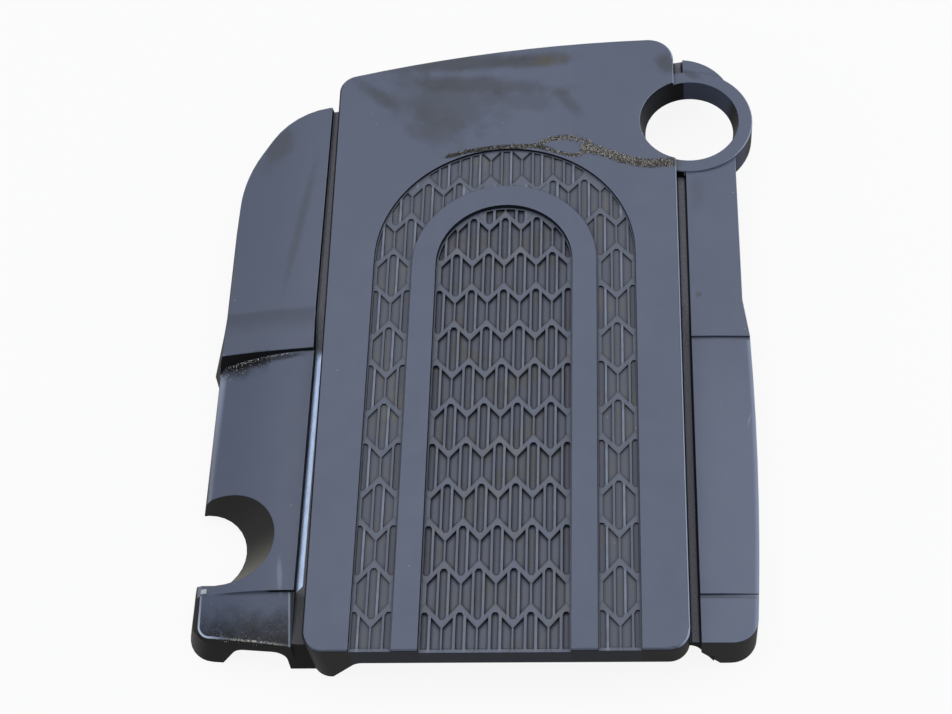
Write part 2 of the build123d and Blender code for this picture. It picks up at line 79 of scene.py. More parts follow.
Socket = bpy.types.NodeSocket
Plug = bpy.types.NodeSocket | float | tuple[float, ...]
Colour = tuple[float, float, float]
Feel = tuple[float, float]


class Axis(Enum):
    """Names of a vector's parts, as the separating node puts them out."""

    X = "X"
    Y = "Y"
    Z = "Z"


class Wiring:
    """Writes shader nodes into one node tree, with plain values or links on their inputs."""

    def __init__(self, tree: bpy.types.NodeTree) -> None:
        """Keep the tree that the nodes go into."""
        self.tree = tree

    def node(
        self, kind: str, inputs: Mapping[str | int, Plug] | None = None, **settings: object
    ) -> bpy.types.Node:
        """Add a node.

        Args:
            kind: Type name of the node.
            inputs: Values or sockets for the node's inputs, by name or by place.
            settings: Properties that are set on the node first.

        Returns:
            The new node.
        """
        made = self.tree.nodes.new(kind)
        for name, value in settings.items():
            setattr(made, name, value)
        self.fill(made, inputs or {})
        return made

    def fill(self, node: bpy.types.Node, inputs: Mapping[str | int, Plug]) -> None:
        """Set or link inputs of a node."""
        for key, value in inputs.items():
            self.feed(node.inputs[key], value)

    def feed(self, socket: Socket, value: Plug) -> None:
        """Link a socket to another one, or set its value.

        Args:
            socket: The input that is fed.
            value: The socket that it is linked to, or its plain value.
        """
        if isinstance(value, bpy.types.NodeSocket):
            self.tree.links.new(value, socket)
        else:
            socket.default_value = value

    def math(self, operation: str, *values: Plug, clamp: bool = False) -> Socket:
        """Add a math node and return its result."""
        inputs = dict(enumerate(values))
        return self.node("ShaderNodeMath", inputs, operation=operation, use_clamp=clamp).outputs[0]

    def vector(self, operation: str, *values: Plug) -> Socket:
        """Add a vector math node and return the vector that it puts out."""
        inputs = dict(enumerate(values))
        return self.node("ShaderNodeVectorMath", inputs, operation=operation).outputs["Vector"]

    def length(self, vector: Socket) -> Socket:
        """Return the length of a vector."""
        return self.node("ShaderNodeVectorMath", {0: vector}, operation="LENGTH").outputs["Value"]

    def minus(self, value: Plug, taken: Plug) -> Socket:
        """Take one value from another and return the rest."""
        return self.math("SUBTRACT", value, taken)

    def between(self, value: Plug, low: Plug, high: Plug) -> Socket:
        """Return the mask of the values between two limits."""
        return self.product(self.math("GREATER_THAN", value, low), self.math("LESS_THAN", value, high))

    def product(self, *masks: Plug) -> Socket:
        """Multiply masks or values.

        Args:
            masks: What is multiplied.

        Returns:
            The product.
        """
        total = masks[0]
        for mask in masks[1:]:
            total = self.math("MULTIPLY", total, mask)
        return total

    def ramp(self, value: Plug, low: float, high: float, start: float = 0.0, end: float = 1.0) -> Socket:
        """Ease a value from start to end while it goes from low to high.

        Args:
            value: The value that is followed.
            low: Where the change starts.
            high: Where the change ends.
            start: Result at and below low.
            end: Result at and above high.

        Returns:
            The eased result.
        """
        inputs = {"Value": value, "From Min": low, "From Max": high, "To Min": start, "To Max": end}
        return self.node("ShaderNodeMapRange", inputs, interpolation_type="SMOOTHSTEP").outputs[0]

    def fall(self, value: Plug, low: float, high: float) -> Socket:
        """Ease from one to nothing while a value goes from low to high."""
        return self.ramp(value, low, high, 1.0, 0.0)

    def paint(self, below: Plug, above: Plug, mask: Plug) -> Socket:
        """Lay one colour over another through a mask and return the result."""
        inputs = {0: mask, 6: opaque(below), 7: opaque(above)}
        return self.node("ShaderNodeMix", inputs, data_type="RGBA", clamp_factor=True).outputs[2]

    def blend(self, below: Plug, above: Plug, mask: Plug) -> Socket:
        """Go from one value to another through a mask and return the result."""
        inputs = {0: mask, 2: below, 3: above}
        return self.node("ShaderNodeMix", inputs, data_type="FLOAT", clamp_factor=True).outputs[0]

    def noise(self, place: Plug, scale: float, detail: float = 3.0, roughness: float = 0.55) -> Socket:
        """Add a noise of the given scale and return its value."""
        inputs = {"Vector": place, "Scale": scale, "Detail": detail, "Roughness": roughness}
        return self.node("ShaderNodeTexNoise", inputs).outputs["Fac"]

    def place(self) -> Socket:
        """Return the object's own coordinates."""
        return self.node("ShaderNodeTexCoord").outputs["Object"]

    def part(self, vector: Socket, axis: Axis) -> Socket:
        """Return one part of a vector."""
        return self.node("ShaderNodeSeparateXYZ", {0: vector}).outputs[axis.value]

    def effect(self, group: bpy.types.NodeTree, inputs: Mapping[str, Plug]) -> Socket:
        """Place a shared effect with its own values and return its first output."""
        return self.node("ShaderNodeGroup", inputs, node_tree=group).outputs[0]


def opaque(value: Plug) -> Plug:
    """Give a plain colour its alpha of one, and pass a socket on as it is.

    Args:
        value: The colour or the socket.

    Returns:
        What a colour input takes.
    """
    if isinstance(value, tuple) and len(value) == 3:
        return (*value, 1.0)
    return value


class Port(Enum):
    """Kinds of socket that a shared effect takes or puts out."""

    VALUE = "NodeSocketFloat"
    VECTOR = "NodeSocketVector"


class Effect(Wiring):
    """A shared effect: a node group with named inputs and one named output."""

    def __init__(
        self, name: str, vectors: Sequence[str], values: Sequence[str], output: str = "Mask"
    ) -> None:
        """Make the empty group.

        Args:
            name: Name of the group.
            vectors: Names of the vectors that it takes.
            values: Names of the values that it takes.
            output: Name of the value that it puts out.
        """
        super().__init__(bpy.data.node_groups.new(name, "ShaderNodeTree"))
        for kind, ports in ((Port.VECTOR, vectors), (Port.VALUE, values)):
            for port in ports:
                self.tree.interface.new_socket(port, in_out="INPUT", socket_type=kind.value)
        self.tree.interface.new_socket(output, in_out="OUTPUT", socket_type=Port.VALUE.value)
        self.inputs = self.tree.nodes.new("NodeGroupInput").outputs
        self.result = self.tree.nodes.new("NodeGroupOutput")

    def close(self, value: Socket) -> bpy.types.NodeTree:
        """Put the value out and return the finished group."""
        self.tree.links.new(value, self.result.inputs[0])
        return self.tree


def stretch_effect() -> bpy.types.NodeTree:
    """Make the mask of a stretch between two limits, with soft ends.

    Returns:
        The group, which puts out Mask.
    """
    wire = Effect("soft_stretch", (), ("Value", "Low", "High", "Soft"))
    given = wire.inputs
    rise = wire.math("DIVIDE", wire.minus(given["Value"], given["Low"]), given["Soft"])
    fall = wire.math("DIVIDE", wire.minus(given["High"], given["Value"]), given["Soft"])
    inside = wire.math("MINIMUM", rise, fall)
    return wire.close(wire.ramp(inside, -0.5, 0.5))


def smear_effect() -> bpy.types.NodeTree:
    """Make the mask of one ragged oval smear on a face that looks up.

    Returns:
        The group, which puts out Mask.
    """
    wire = Effect("ragged_smear", ("Place", "Centre", "Half Size"), ("Turn", "Ragged", "Noise"))
    given = wire.inputs
    turned = wire.node(
        "ShaderNodeVectorRotate",
        {"Vector": given["Place"], "Center": given["Centre"], "Angle": given["Turn"]},
        rotation_type="Z_AXIS",
    ).outputs[0]
    offset = wire.vector("SUBTRACT", turned, given["Centre"])
    share = wire.vector("DIVIDE", offset, given["Half Size"])
    reach = wire.length(wire.vector("MULTIPLY", share, (1.0, 1.0, 0.0)))
    uneven = wire.product(wire.minus(given["Noise"], 0.5), given["Ragged"])
    edge = wire.math("ADD", reach, uneven)
    return wire.close(wire.fall(edge, 0.3, 1.1))


def speck_effect() -> bpy.types.NodeTree:
    """Make the mask of scattered small specks.

    Returns:
        The group, which puts out Mask.
    """
    wire = Effect("scattered_specks", ("Place",), ("Scale", "Share", "Reach"))
    given = wire.inputs
    cells = wire.node("ShaderNodeTexVoronoi", {"Vector": given["Place"], "Scale": given["Scale"]})
    lot = wire.node("ShaderNodeSeparateColor", {0: cells.outputs["Color"]}).outputs[0]
    chosen = wire.math("LESS_THAN", lot, given["Share"])
    size = wire.product(given["Reach"], wire.math("DIVIDE", lot, given["Share"]))
    near = wire.math("LESS_THAN", cells.outputs["Distance"], size)
    return wire.close(wire.product(chosen, near))


def rib_effect() -> bpy.types.NodeTree:
    """Make the mask of the rib on the right of every slot in one set of rows.

    Returns:
        The group, which puts out Mask.
    """
    wire = Effect("rib_beside_slot", ("Place", "Start", "Pitch"), ("Low", "High", "Length"))
    given = wire.inputs
    offset = wire.vector("SUBTRACT", given["Place"], given["Start"])
    cycle = wire.vector("FRACTION", wire.vector("DIVIDE", offset, given["Pitch"]))
    inside = wire.vector("MULTIPLY", cycle, given["Pitch"])
    across = wire.part(inside, Axis.X)
    along = wire.part(inside, Axis.Y)
    beside = wire.between(across, given["Low"], given["High"])
    fade = wire.math("DIVIDE", along, given["Length"])
    middle = wire.product(wire.ramp(fade, 0.02, 0.14), wire.fall(fade, 0.84, 0.98))
    return wire.close(wire.product(beside, middle))


def bar_shade_effect() -> bpy.types.NodeTree:
    """Make the mask of the painted shade on both sides of the zigzag bars over every second row of slots.

    Returns:
        The group, which puts out Mask.
    """
    values = ("Half Pitch", "Half Rows", "Slope", "Near", "Core", "Side")
    wire = Effect("shaded_sides_of_bars", ("Place", "Start"), values)
    given = wire.inputs
    offset = wire.vector("SUBTRACT", given["Place"], given["Start"])
    beside = wire.math("PINGPONG", wire.part(offset, Axis.X), given["Half Pitch"])
    rise = wire.math("MULTIPLY_ADD", beside, given["Slope"], wire.part(offset, Axis.Y))
    behind = wire.math("WRAP", rise, given["Half Rows"], wire.product(given["Half Rows"], -1.0))
    edge = wire.between(wire.math("ABSOLUTE", behind), given["Core"], given["Side"])
    far = wire.minus(given["Half Pitch"], given["Near"])
    rear = wire.product(wire.math("GREATER_THAN", behind, 0.0), wire.math("LESS_THAN", beside, far))
    ahead = wire.math("LESS_THAN", behind, 0.0)
    front = wire.product(ahead, wire.math("GREATER_THAN", beside, given["Near"]))
    return wire.close(wire.product(edge, wire.math("MAXIMUM", rear, front)))


def grain_effect() -> bpy.types.NodeTree:
    """Make the height of a moulded grain with a slow waviness under it.

    Returns:
        The group, which puts out Height.
    """
    wire = Effect("moulded_grain", ("Place",), ("Scale", "Wave"), "Height")
    given = wire.inputs
    fine = wire.noise(given["Place"], given["Scale"], 2.0, 0.6)
    slow = wire.noise(given["Place"], 9.0, 1.0, 0.4)
    return wire.close(wire.math("MULTIPLY_ADD", slow, given["Wave"], fine))


@dataclass(frozen=True)
class Effects:
    """The shared effects that the finishes place."""

    stretch: bpy.types.NodeTree
    smear: bpy.types.NodeTree
    specks: bpy.types.NodeTree
    ribs: bpy.types.NodeTree
    bars: bpy.types.NodeTree
    grain: bpy.types.NodeTree

    @classmethod
    def make(cls) -> "Effects":
        """Build every shared effect once."""
        return cls(
            stretch_effect(), smear_effect(), speck_effect(), rib_effect(), bar_shade_effect(), grain_effect()
        )


def fresh_wiring(owner: bpy.types.Material | bpy.types.World) -> Wiring:
    """Empty the nodes of a material or a world.

    Args:
        owner: The material or the world.

    Returns:
        The writer of its nodes.
    """
    owner.use_nodes = True
    owner.node_tree.nodes.clear()
    return Wiring(owner.node_tree)


def add_object(name: str, data: bpy.types.ID) -> bpy.types.Object:
    """Add an object to the scene.

    Args:
        name: Name of the object.
        data: Its mesh, lamp or camera.

    Returns:
        The object.
    """
    made = bpy.data.objects.new(name, data)
    bpy.context.scene.collection.objects.link(made)
    return made


def blank_material(name: str) -> tuple[bpy.types.Material, Wiring, bpy.types.Node]:
    """Make a material with a plain surface shader.

    Args:
        name: Name of the material.

    Returns:
        The material, the writer of its nodes and its surface shader.
    """
    material = bpy.data.materials.new(name)
    wire = fresh_wiring(material)
    shader = wire.node("ShaderNodeBsdfPrincipled")
    wire.node("ShaderNodeOutputMaterial", {"Surface": shader.outputs[0]})
    return material, wire, shader


@dataclass(frozen=True)
class GrainRelief:
    """Fine grain of a moulded surface, with a slow waviness under it.

    Attributes:
        scale: Scale of the grain's noise.
        wave: Height of the waviness beside the grain's.
        strength: How much of the relief is seen.
        depth: Depth of the relief.
    """

    scale: float
    wave: float
    strength: float
    depth: float

    def normal(self, wire: Wiring, group: bpy.types.NodeTree, place: Socket) -> Socket:
        """Make the normal of a surface that has the grain.

        Args:
            wire: Writer of the material's nodes.
            group: The shared effect of the grain.
            place: Coordinates that the grain follows.

        Returns:
            The normal.
        """
        height = wire.effect(group, {"Place": place, "Scale": self.scale, "Wave": self.wave})
        inputs = {"Strength": self.strength, "Distance": self.depth, "Height": height}
        return wire.node("ShaderNodeBump", inputs).outputs[0]


@dataclass(frozen=True)
class CoverLayout:
    """Places on the cover that the finishes and the dirt refer to."""

    top: float
    middle_x: float = 16.17 * MM
    front_y: float = -269.3 * MM
    inner_half: float = 53.3 * MM
    band_half: float = 102.2 * MM
    inner_level: float = 4.5 * MM
    inner_floor: float = 7.3 * MM
    band_level: float = 2.4 * MM
    band_floor: float = 4.0 * MM
    slot_half: float = 2.6 * MM
    rib_width: float = 2.2 * MM
    slot_length: float = 39.2 * MM
    column_pitch: float = 25.0 * MM
    row_pitch: float = 33.5 * MM
    first_slot_y: float = -278.2 * MM
    bar_rise: float = 4.40 * MM
    bar_slope: float = 1.159
    bar_core: float = 1.15 * MM
    shaded_bar_side: float = 3.1 * MM
    plate_left_x: float = -119.3 * MM
    plate_right_x: float = 151.7 * MM
    plate_flare: float = 0.01077
    left_wing_x: float = -130.2 * MM
    right_wing_x: float = 159.5 * MM
    groove_depth: float = 10.0 * MM
    step_y: float = -17.3 * MM
    box_y: float = -217.8 * MM
    box_corner: tuple[float, float] = (-191.8 * MM, -245.0 * MM)
    box_round: float = 9.0 * MM
    box_middle_x: float = -160.0 * MM
    box_slope: float = 0.1345
    box_right_x: float = -133.8 * MM
    box_right_lean: float = 0.0616
    slit_left_x: float = -150.0 * MM
    strip_width: float = 4.8 * MM
    pad_x: tuple[float, float] = (-201.0 * MM, -196.4 * MM)
    pad_y: tuple[float, float] = (-215.8 * MM, -212.4 * MM)
    crease: tuple[float, float] = (-166.0 * MM, 12.3 * MM)
    crease_lean: float = 0.0567
    brow_x: float = -199.5 * MM
    notch_y: float = -174.8 * MM
    notch_foot_x: float = -210.53 * MM
    notch_lean: float = 0.6625
    notch_foot_radius: float = 30.5 * MM
    notch_flare: float = 0.178
    right_edge_middle: tuple[float, float] = (204.1 * MM, -137.3 * MM)
    right_edge_half: float = 123.0 * MM
    right_edge_lean: float = 2.75 * MM
    right_edge_bow: float = 3.2 * MM


@dataclass(frozen=True)
class Smear:
    """One ragged smear on a face that looks up.

    Attributes:
        centre: Middle of the smear in plan.
        half: Half its length and half its width.
        turn: Turn of its length from +X, in degrees.
        strength: How much of it covers the film.
        ragged: How uneven its edge is.
    """

    centre: tuple[float, float]
    half: tuple[float, float]
    turn: float
    strength: float
    ragged: float = 1.2


FILM_SMEARS = (
    Smear((-0.012, 0.2500), (0.095, 0.011), 2.0, 0.75),
    Smear((0.030, 0.2505), (0.040, 0.009), 3.0, 0.6),
    Smear((-0.010, 0.2265), (0.080, 0.012), -5.0, 0.65),
    Smear((-0.092, 0.2200), (0.028, 0.008), -43.0, 0.6),
    Smear((-0.034, 0.2080), (0.060, 0.034), -12.0, 0.5, 1.5),
    Smear((-0.040, 0.1840), (0.034, 0.022), -40.0, 0.45, 1.6),
    Smear((0.066, 0.2060), (0.020, 0.007), -50.0, 0.5),
    Smear((0.030, 0.2080), (0.040, 0.012), -8.0, 0.35, 1.5),
    Smear((0.145, 0.2420), (0.009, 0.015), 10.0, 0.7),
    Smear((0.166, 0.2330), (0.013, 0.005), -35.0, 0.6),
    Smear((-0.174, 0.1710), (0.027, 0.013), 72.0, 0.55, 1.8),
    Smear((-0.1485, 0.0955), (0.080, 0.0048), 82.3, 0.42, 0.7),
    Smear((0.168, 0.1150), (0.010, 0.020), 0.0, 0.25, 1.6),
    Smear((0.166, 0.0200), (0.003, 0.003), 0.0, 0.7, 0.6),
)
BROWN_SMEARS = (
    Smear((0.047, 0.2500), (0.014, 0.008), 3.0, 0.8, 0.7),
    Smear((0.0615, 0.2515), (0.005, 0.006), 0.0, 0.6, 0.7),
)
STEP_SMEARS = (
    Smear((-0.186, -0.0265), (0.026, 0.0070), 8.0, 0.9, 1.5),
    Smear((-0.190, -0.0310), (0.022, 0.0105), 5.0, 0.55, 1.9),
    Smear((-0.160, -0.0236), (0.026, 0.0034), 7.0, 0.7, 1.2),
    Smear((-0.184, -0.0248), (0.028, 0.0042), 8.0, 1.0, 0.8),
)
PALE_SMEARS = (
    Smear((-0.1415, -0.2060), (0.017, 0.0026), -84.0, 0.5, 0.5),
    Smear((0.200, -0.0850), (0.007, 0.0008), 75.0, 0.6, 0.4),
)
TRAIL_STAINS = (
    Smear((-0.022, 0.1570), (0.016, 0.0024), 16.0, 0.95, 0.7),
    Smear((0.000, 0.1612), (0.016, 0.0026), 8.0, 0.95, 0.7),
    Smear((0.024, 0.1624), (0.018, 0.0026), 0.0, 0.95, 0.7),
    Smear((0.044, 0.1612), (0.012, 0.0026), -12.0, 0.9, 0.7),
    Smear((0.063, 0.1538), (0.016, 0.0022), -17.0, 0.7, 0.8),
)
TRAIL_SOIL = (
    Smear((0.058, 0.1694), (0.020, 0.0028), 6.0, 0.75, 0.8),
    Smear((0.090, 0.1558), (0.020, 0.0050), -25.0, 0.85, 0.8),
    Smear((0.113, 0.1458), (0.020, 0.0054), -20.0, 0.9, 0.8),
    Smear((0.138, 0.1418), (0.022, 0.0056), 2.0, 0.9, 0.8),
)


@dataclass(frozen=True)
class Sight:
    """What a finish reads at a point of the cover."""

    place: Socket
    across: Socket
    along: Socket
    height: Socket
    lean_right: Socket
    lean_front: Socket
    eased: Socket
    up: Socket
    tilted: Socket

    @classmethod
    def read(cls, wire: Wiring) -> "Sight":
        """Read the place and the way that the surface faces.

        Args:
            wire: Writer of the material's nodes.

        Returns:
            What was read.
        """
        place = wire.place()
        normal = wire.node("ShaderNodeNewGeometry").outputs["Normal"]
        rise = wire.part(normal, Axis.Z)
        return cls(
            place=place,
            across=wire.part(place, Axis.X),
            along=wire.part(place, Axis.Y),
            height=wire.part(place, Axis.Z),
            lean_right=wire.part(normal, Axis.X),
            lean_front=wire.product(wire.part(normal, Axis.Y), -1.0),
            eased=wire.fall(rise, 0.78, 0.97),
            up=wire.ramp(rise, 0.45, 0.8),
            tilted=wire.ramp(rise, 0.2, 0.5),
        )


class Coat:
    """Colour, roughness and shine of a surface, to which layers are added."""

    def __init__(self, wire: Wiring, colour: Plug, rough: Plug, shine: Plug) -> None:
        """Start with the bare surface.

        Args:
            wire: Writer of the material's nodes.
            colour: Colour of the surface.
            rough: Its roughness.
            shine: Its shine.
        """
        self.wire = wire
        self.colour = colour
        self.rough = rough
        self.shine = shine

    def lay(
        self, mask: Plug, colour: Plug | None = None, rough: Plug | None = None, shine: Plug | None = None
    ) -> None:
        """Lay one layer through a mask.

        Args:
            mask: Where the layer is.
            colour: Its colour, if it has one of its own.
            rough: Its roughness, if it has one of its own.
            shine: Its shine, if it has one of its own.
        """
        if colour is not None:
            self.colour = self.wire.paint(self.colour, colour, mask)
        if rough is not None:
            self.rough = self.wire.blend(self.rough, rough, mask)
        if shine is not None:
            self.shine = self.wire.blend(self.shine, shine, mask)


@dataclass(frozen=True)
class MouldedPlastic:
    """Black moulded plastic under a slate film of dust, with the cover's own marks and painted light and
    shade.

    A feel is a roughness and a shine.
    """

    layout: CoverLayout
    effects: Effects
    clean: Colour = (0.010, 0.010, 0.011)
    shade_line: Colour = (0.020, 0.024, 0.038)
    film: Colour = (0.112, 0.133, 0.197)
    film_shade: Colour = (0.088, 0.105, 0.157)
    film_light: Colour = (0.130, 0.153, 0.224)
    ridge: Colour = (0.168, 0.200, 0.294)
    lit_rib: Colour = (0.290, 0.330, 0.440)
    shaded_bar_side: Colour = (0.066, 0.068, 0.080)
    floor_dust: Colour = (0.150, 0.160, 0.200)
    olive_dust: Colour = (0.146, 0.141, 0.132)
    band_dust: Colour = (0.128, 0.139, 0.173)
    pale_dust: Colour = (0.190, 0.178, 0.155)
    groove_dark: Colour = (0.145, 0.146, 0.165)
    groove_light: Colour = (0.270, 0.272, 0.300)
    strip: Colour = (0.53, 0.69, 1.0)
    glint: Colour = (0.330, 0.385, 0.520)
    rim_light: Colour = (0.480, 0.550, 0.700)
    worn_rim: Colour = (0.46, 0.42, 0.34)
    brow_highlight: Colour = (0.205, 0.245, 0.350)
    box_wall: Colour = (0.020, 0.020, 0.018)
    notch_dark: Colour = (0.026, 0.025, 0.024)
    notch_lit_grey: Colour = (0.140, 0.134, 0.112)
    smear: Colour = (0.056, 0.060, 0.070)
    soot: Colour = (0.016, 0.016, 0.018)
    brown: Colour = (0.090, 0.080, 0.066)
    stain: Colour = (0.020, 0.017, 0.014)
    soil: Colour = (0.092, 0.085, 0.075)
    wiped: Colour = (0.250, 0.295, 0.400)
    speck: Colour = (0.50, 0.51, 0.54)
    matt: float = 0.55
    wall_shine: float = 0.05
    film_shine: float = 0.45
    strip_sheen: float = 0.38
    dust_feel: Feel = (0.65, 0.2)
    band_feel: Feel = (0.6, 0.25)
    strip_feel: Feel = (0.22, 1.0)
    glint_feel: Feel = (0.35, 0.5)
    dull_feel: Feel = (0.5, 0.1)
    rim_feel: Feel = (0.3, 0.5)
    worn_feel: Feel = (0.5, 0.3)
    box_feel: Feel = (0.25, 0.25)
    notch_feel: Feel = (0.6, 0.1)
    grain: GrainRelief = GrainRelief(1500.0, 2.0, 0.25, 0.08 * MM)

    def make(self) -> bpy.types.Material:
        """Build the material of the whole moulding.

        Returns:
            The material.
        """
        material, wire, shader = blank_material("moulded_plastic")
        painter = CoverPainter(wire, self)
        glossy = painter.lay_all()
        inputs = {
            "Base Color": painter.colour,
            "Roughness": painter.rough,
            "Specular IOR Level": painter.shine,
            "Metallic": wire.product(glossy, self.strip_sheen),
            "Normal": self.grain.normal(wire, self.effects.grain, painter.sight.place),
        }
        wire.fill(shader, inputs)
        return material


class CoverPainter(Coat):
    """Lays the layers of the moulding one by one, from its finish and its layout."""

    def __init__(self, wire: Wiring, tint: MouldedPlastic) -> None:
        """Start with clean plastic.

        Args:
            wire: Writer of the material's nodes.
            tint: The finish that is laid on.
        """
        super().__init__(wire, tint.clean, tint.matt, tint.wall_shine)
        self.effects = tint.effects
        self.plan = tint.layout
        self.sight = Sight.read(wire)
        self.kit = (wire, self.sight, self.plan, tint)

    def lay_all(self) -> Socket:
        """Lay every layer, from the dust film up.

        Returns:
            The mask of the glossy strip.
        """
        self.dust_film()
        self.lattice()
        glossy = self.grooves()
        self.edges()
        self.crease()
        self.corner_shade()
        self.marks()
        self.front_box()
        self.notch()
        return glossy

    def noise(self, scale: float, detail: float = 3.0, roughness: float = 0.55) -> Socket:
        """Return a noise over the cover."""
        return self.wire.noise(self.sight.place, scale, detail, roughness)

    def within(self, value: Socket, low: float, high: float, soft: float = SOFT) -> Socket:
        """Return the mask of a stretch of a coordinate."""
        inputs = {"Value": value, "Low": low, "High": high, "Soft": soft}
        return self.wire.effect(self.effects.stretch, inputs)

    def zone(self, half: float) -> Socket:
        """Return the mask of one of the arched recesses, by half its width."""
        middle = self.plan.middle_x
        return self.within(self.sight.across, middle - half, middle + half)

    def at_depth(self, depth: float) -> Socket:
        """Return the mask of the faces that look up at a depth under the plate."""
        low = self.plan.top - depth - LEVEL_REACH
        return self.wire.product(self.sight.up, self.within(self.sight.height, low, low + 2 * LEVEL_REACH))

    def specks(self, scale: float, share: float, reach: float) -> Socket:
        """Return the mask of scattered specks."""
        inputs = {"Place": self.sight.place, "Scale": scale, "Share": share, "Reach": reach}
        return self.wire.effect(self.effects.specks, inputs)

    def distance(self, across: Socket, along: Socket) -> Socket:
        """Return the length of an offset in plan."""
        return self.wire.length(self.wire.node("ShaderNodeCombineXYZ", {0: across, 1: along}).outputs[0])

    def dust_film(self) -> None:
        """Lay the film on the faces that look up, with painted shade on the left and a paler front right."""
        wire, sight, plan, tint = self.kit
        # Painted shade: the film darkens towards the left, where the wings turn away from the light.
        left = wire.fall(sight.across, plan.left_wing_x - 60 * MM, plan.left_wing_x + 30 * MM)
        cloud = wire.ramp(self.noise(CLOUD_SCALE, 4.0), 0.35, 0.68, 0.0, 0.3)
        shade_and_cloud = wire.math("MAXIMUM", left, cloud)
        pale = wire.product(
            wire.ramp(sight.across, plan.right_wing_x - 10 * MM, plan.right_wing_x + 10 * MM),
            wire.fall(sight.along, plan.step_y - 100 * MM, plan.step_y + 40 * MM),
        )
        film = wire.paint(wire.paint(tint.film, tint.film_shade, shade_and_cloud), tint.film_light, pale)
        patchy = wire.ramp(self.noise(PATCH_SCALE, 4.0), 0.3, 0.7, 0.40, 0.5)
        self.lay(sight.up, film, patchy, tint.film_shine)

    def lattice(self) -> None:
        """Dust the relief's floors, and paint light and shade on its bars, ribs and recesses."""
        wire, sight, plan, tint = self.kit
        inner = self.zone(plan.inner_half)
        band = self.zone(plan.band_half)
        deep = wire.product(inner, self.at_depth(plan.inner_level))
        shallow = wire.product(band, self.at_depth(plan.band_level))
        self.lay(deep, tint.ridge)
        self.lay(wire.product(shallow, 0.5), tint.band_dust)
        ridged = wire.math("MAXIMUM", deep, shallow)
        # Painted shade on both sides of the bars, so that they look slim.
        painted_bar_shade = wire.product(self.shaded_bar_sides(), ridged, wire.blend(0.4, 0.9, inner))
        self.lay(painted_bar_shade, tint.shaded_bar_side)
        # Painted highlight on the ribs right of the slots, uneven in strength.
        uneven = wire.ramp(self.noise(PAINTED_LIGHT_SCALE), 0.3, 0.6, 0.40, 1.0)
        ridges = wire.math("MULTIPLY_ADD", shallow, 0.5, deep)
        self.lay(wire.product(self.lit_ribs(), ridges, uneven), tint.lit_rib)
        # Painted shade along the eased edges under the band's level, darker in the inner recess.
        edge = plan.top - plan.band_level
        below = wire.fall(sight.height, edge, edge + 1.5 * MM)
        outline = wire.blend(0.4, 0.8, inner)
        self.lay(wire.product(band, below, sight.eased, outline), tint.shade_line)
        fine = wire.ramp(self.noise(SPECKLE_SCALE, 2.0), 0.35, 0.65, 0.75, 1.0)
        patches = wire.ramp(self.noise(OLIVE_SCALE, 5.0, 0.65), 0.42, 0.66)
        inner_dust = wire.paint(tint.floor_dust, tint.olive_dust, patches)
        self.lay(wire.product(inner, self.at_depth(plan.inner_floor), fine), inner_dust, *tint.dust_feel)
        # Painted light: the inner recess is lightened towards its front.
        front = wire.ramp(sight.along, plan.front_y, plan.front_y + 220 * MM, 0.14, 0.02)
        self.lay(wire.product(inner, sight.up, front), tint.lit_rib)
        swept = wire.ramp(self.noise(SWEPT_SCALE), 0.52, 0.72, 0.0, 0.8)
        dusted = wire.product(patches, 0.6)
        band_dust = wire.paint(wire.paint(tint.band_dust, tint.olive_dust, dusted), tint.pale_dust, swept)
        self.lay(wire.product(band, self.at_depth(plan.band_floor), fine), band_dust, *tint.band_feel)

    def rows(self, group: bpy.types.NodeTree, first_y: float, inputs: Mapping[str, Plug]) -> Socket:
        """Place an effect of the lattice over the even rows and over the odd ones.

        Args:
            group: The effect.
            first_y: Where the first even row starts.
            inputs: The effect's other values.

        Returns:
            The mask over all rows.
        """
        plan = self.plan
        shifts = ((0.0, 0.0), (plan.column_pitch / 2, plan.row_pitch))
        starts = [(plan.middle_x + shift, first_y + rise, 0.0) for shift, rise in shifts]
        shared = {"Place": self.sight.place, **inputs}
        masks = [self.wire.effect(group, {"Start": start, **shared}) for start in starts]
        return self.wire.math("MAXIMUM", *masks)

    def lit_ribs(self) -> Socket:
        """Make the mask of the ribs on the right of the slots.

        Returns:
            The mask.
        """
        plan = self.plan
        inputs = {
            "Pitch": (plan.column_pitch, 2 * plan.row_pitch, 1.0),
            "Low": plan.slot_half,
            "High": plan.slot_half + plan.rib_width,
            "Length": plan.slot_length,
        }
        return self.rows(self.effects.ribs, plan.first_slot_y, inputs)

    def shaded_bar_sides(self) -> Socket:
        """Make the mask of the painted shade on both sides of every zigzag bar, leaving a slim bright core.

        Returns:
            The mask.
        """
        plan = self.plan
        inputs = {
            "Half Pitch": plan.column_pitch / 2,
            "Half Rows": plan.row_pitch,
            "Slope": plan.bar_slope,
            "Near": plan.slot_half + plan.rib_width,
            "Core": plan.bar_core,
            "Side": plan.shaded_bar_side,
        }
        return self.rows(self.effects.bars, plan.first_slot_y + plan.slot_length + plan.bar_rise, inputs)

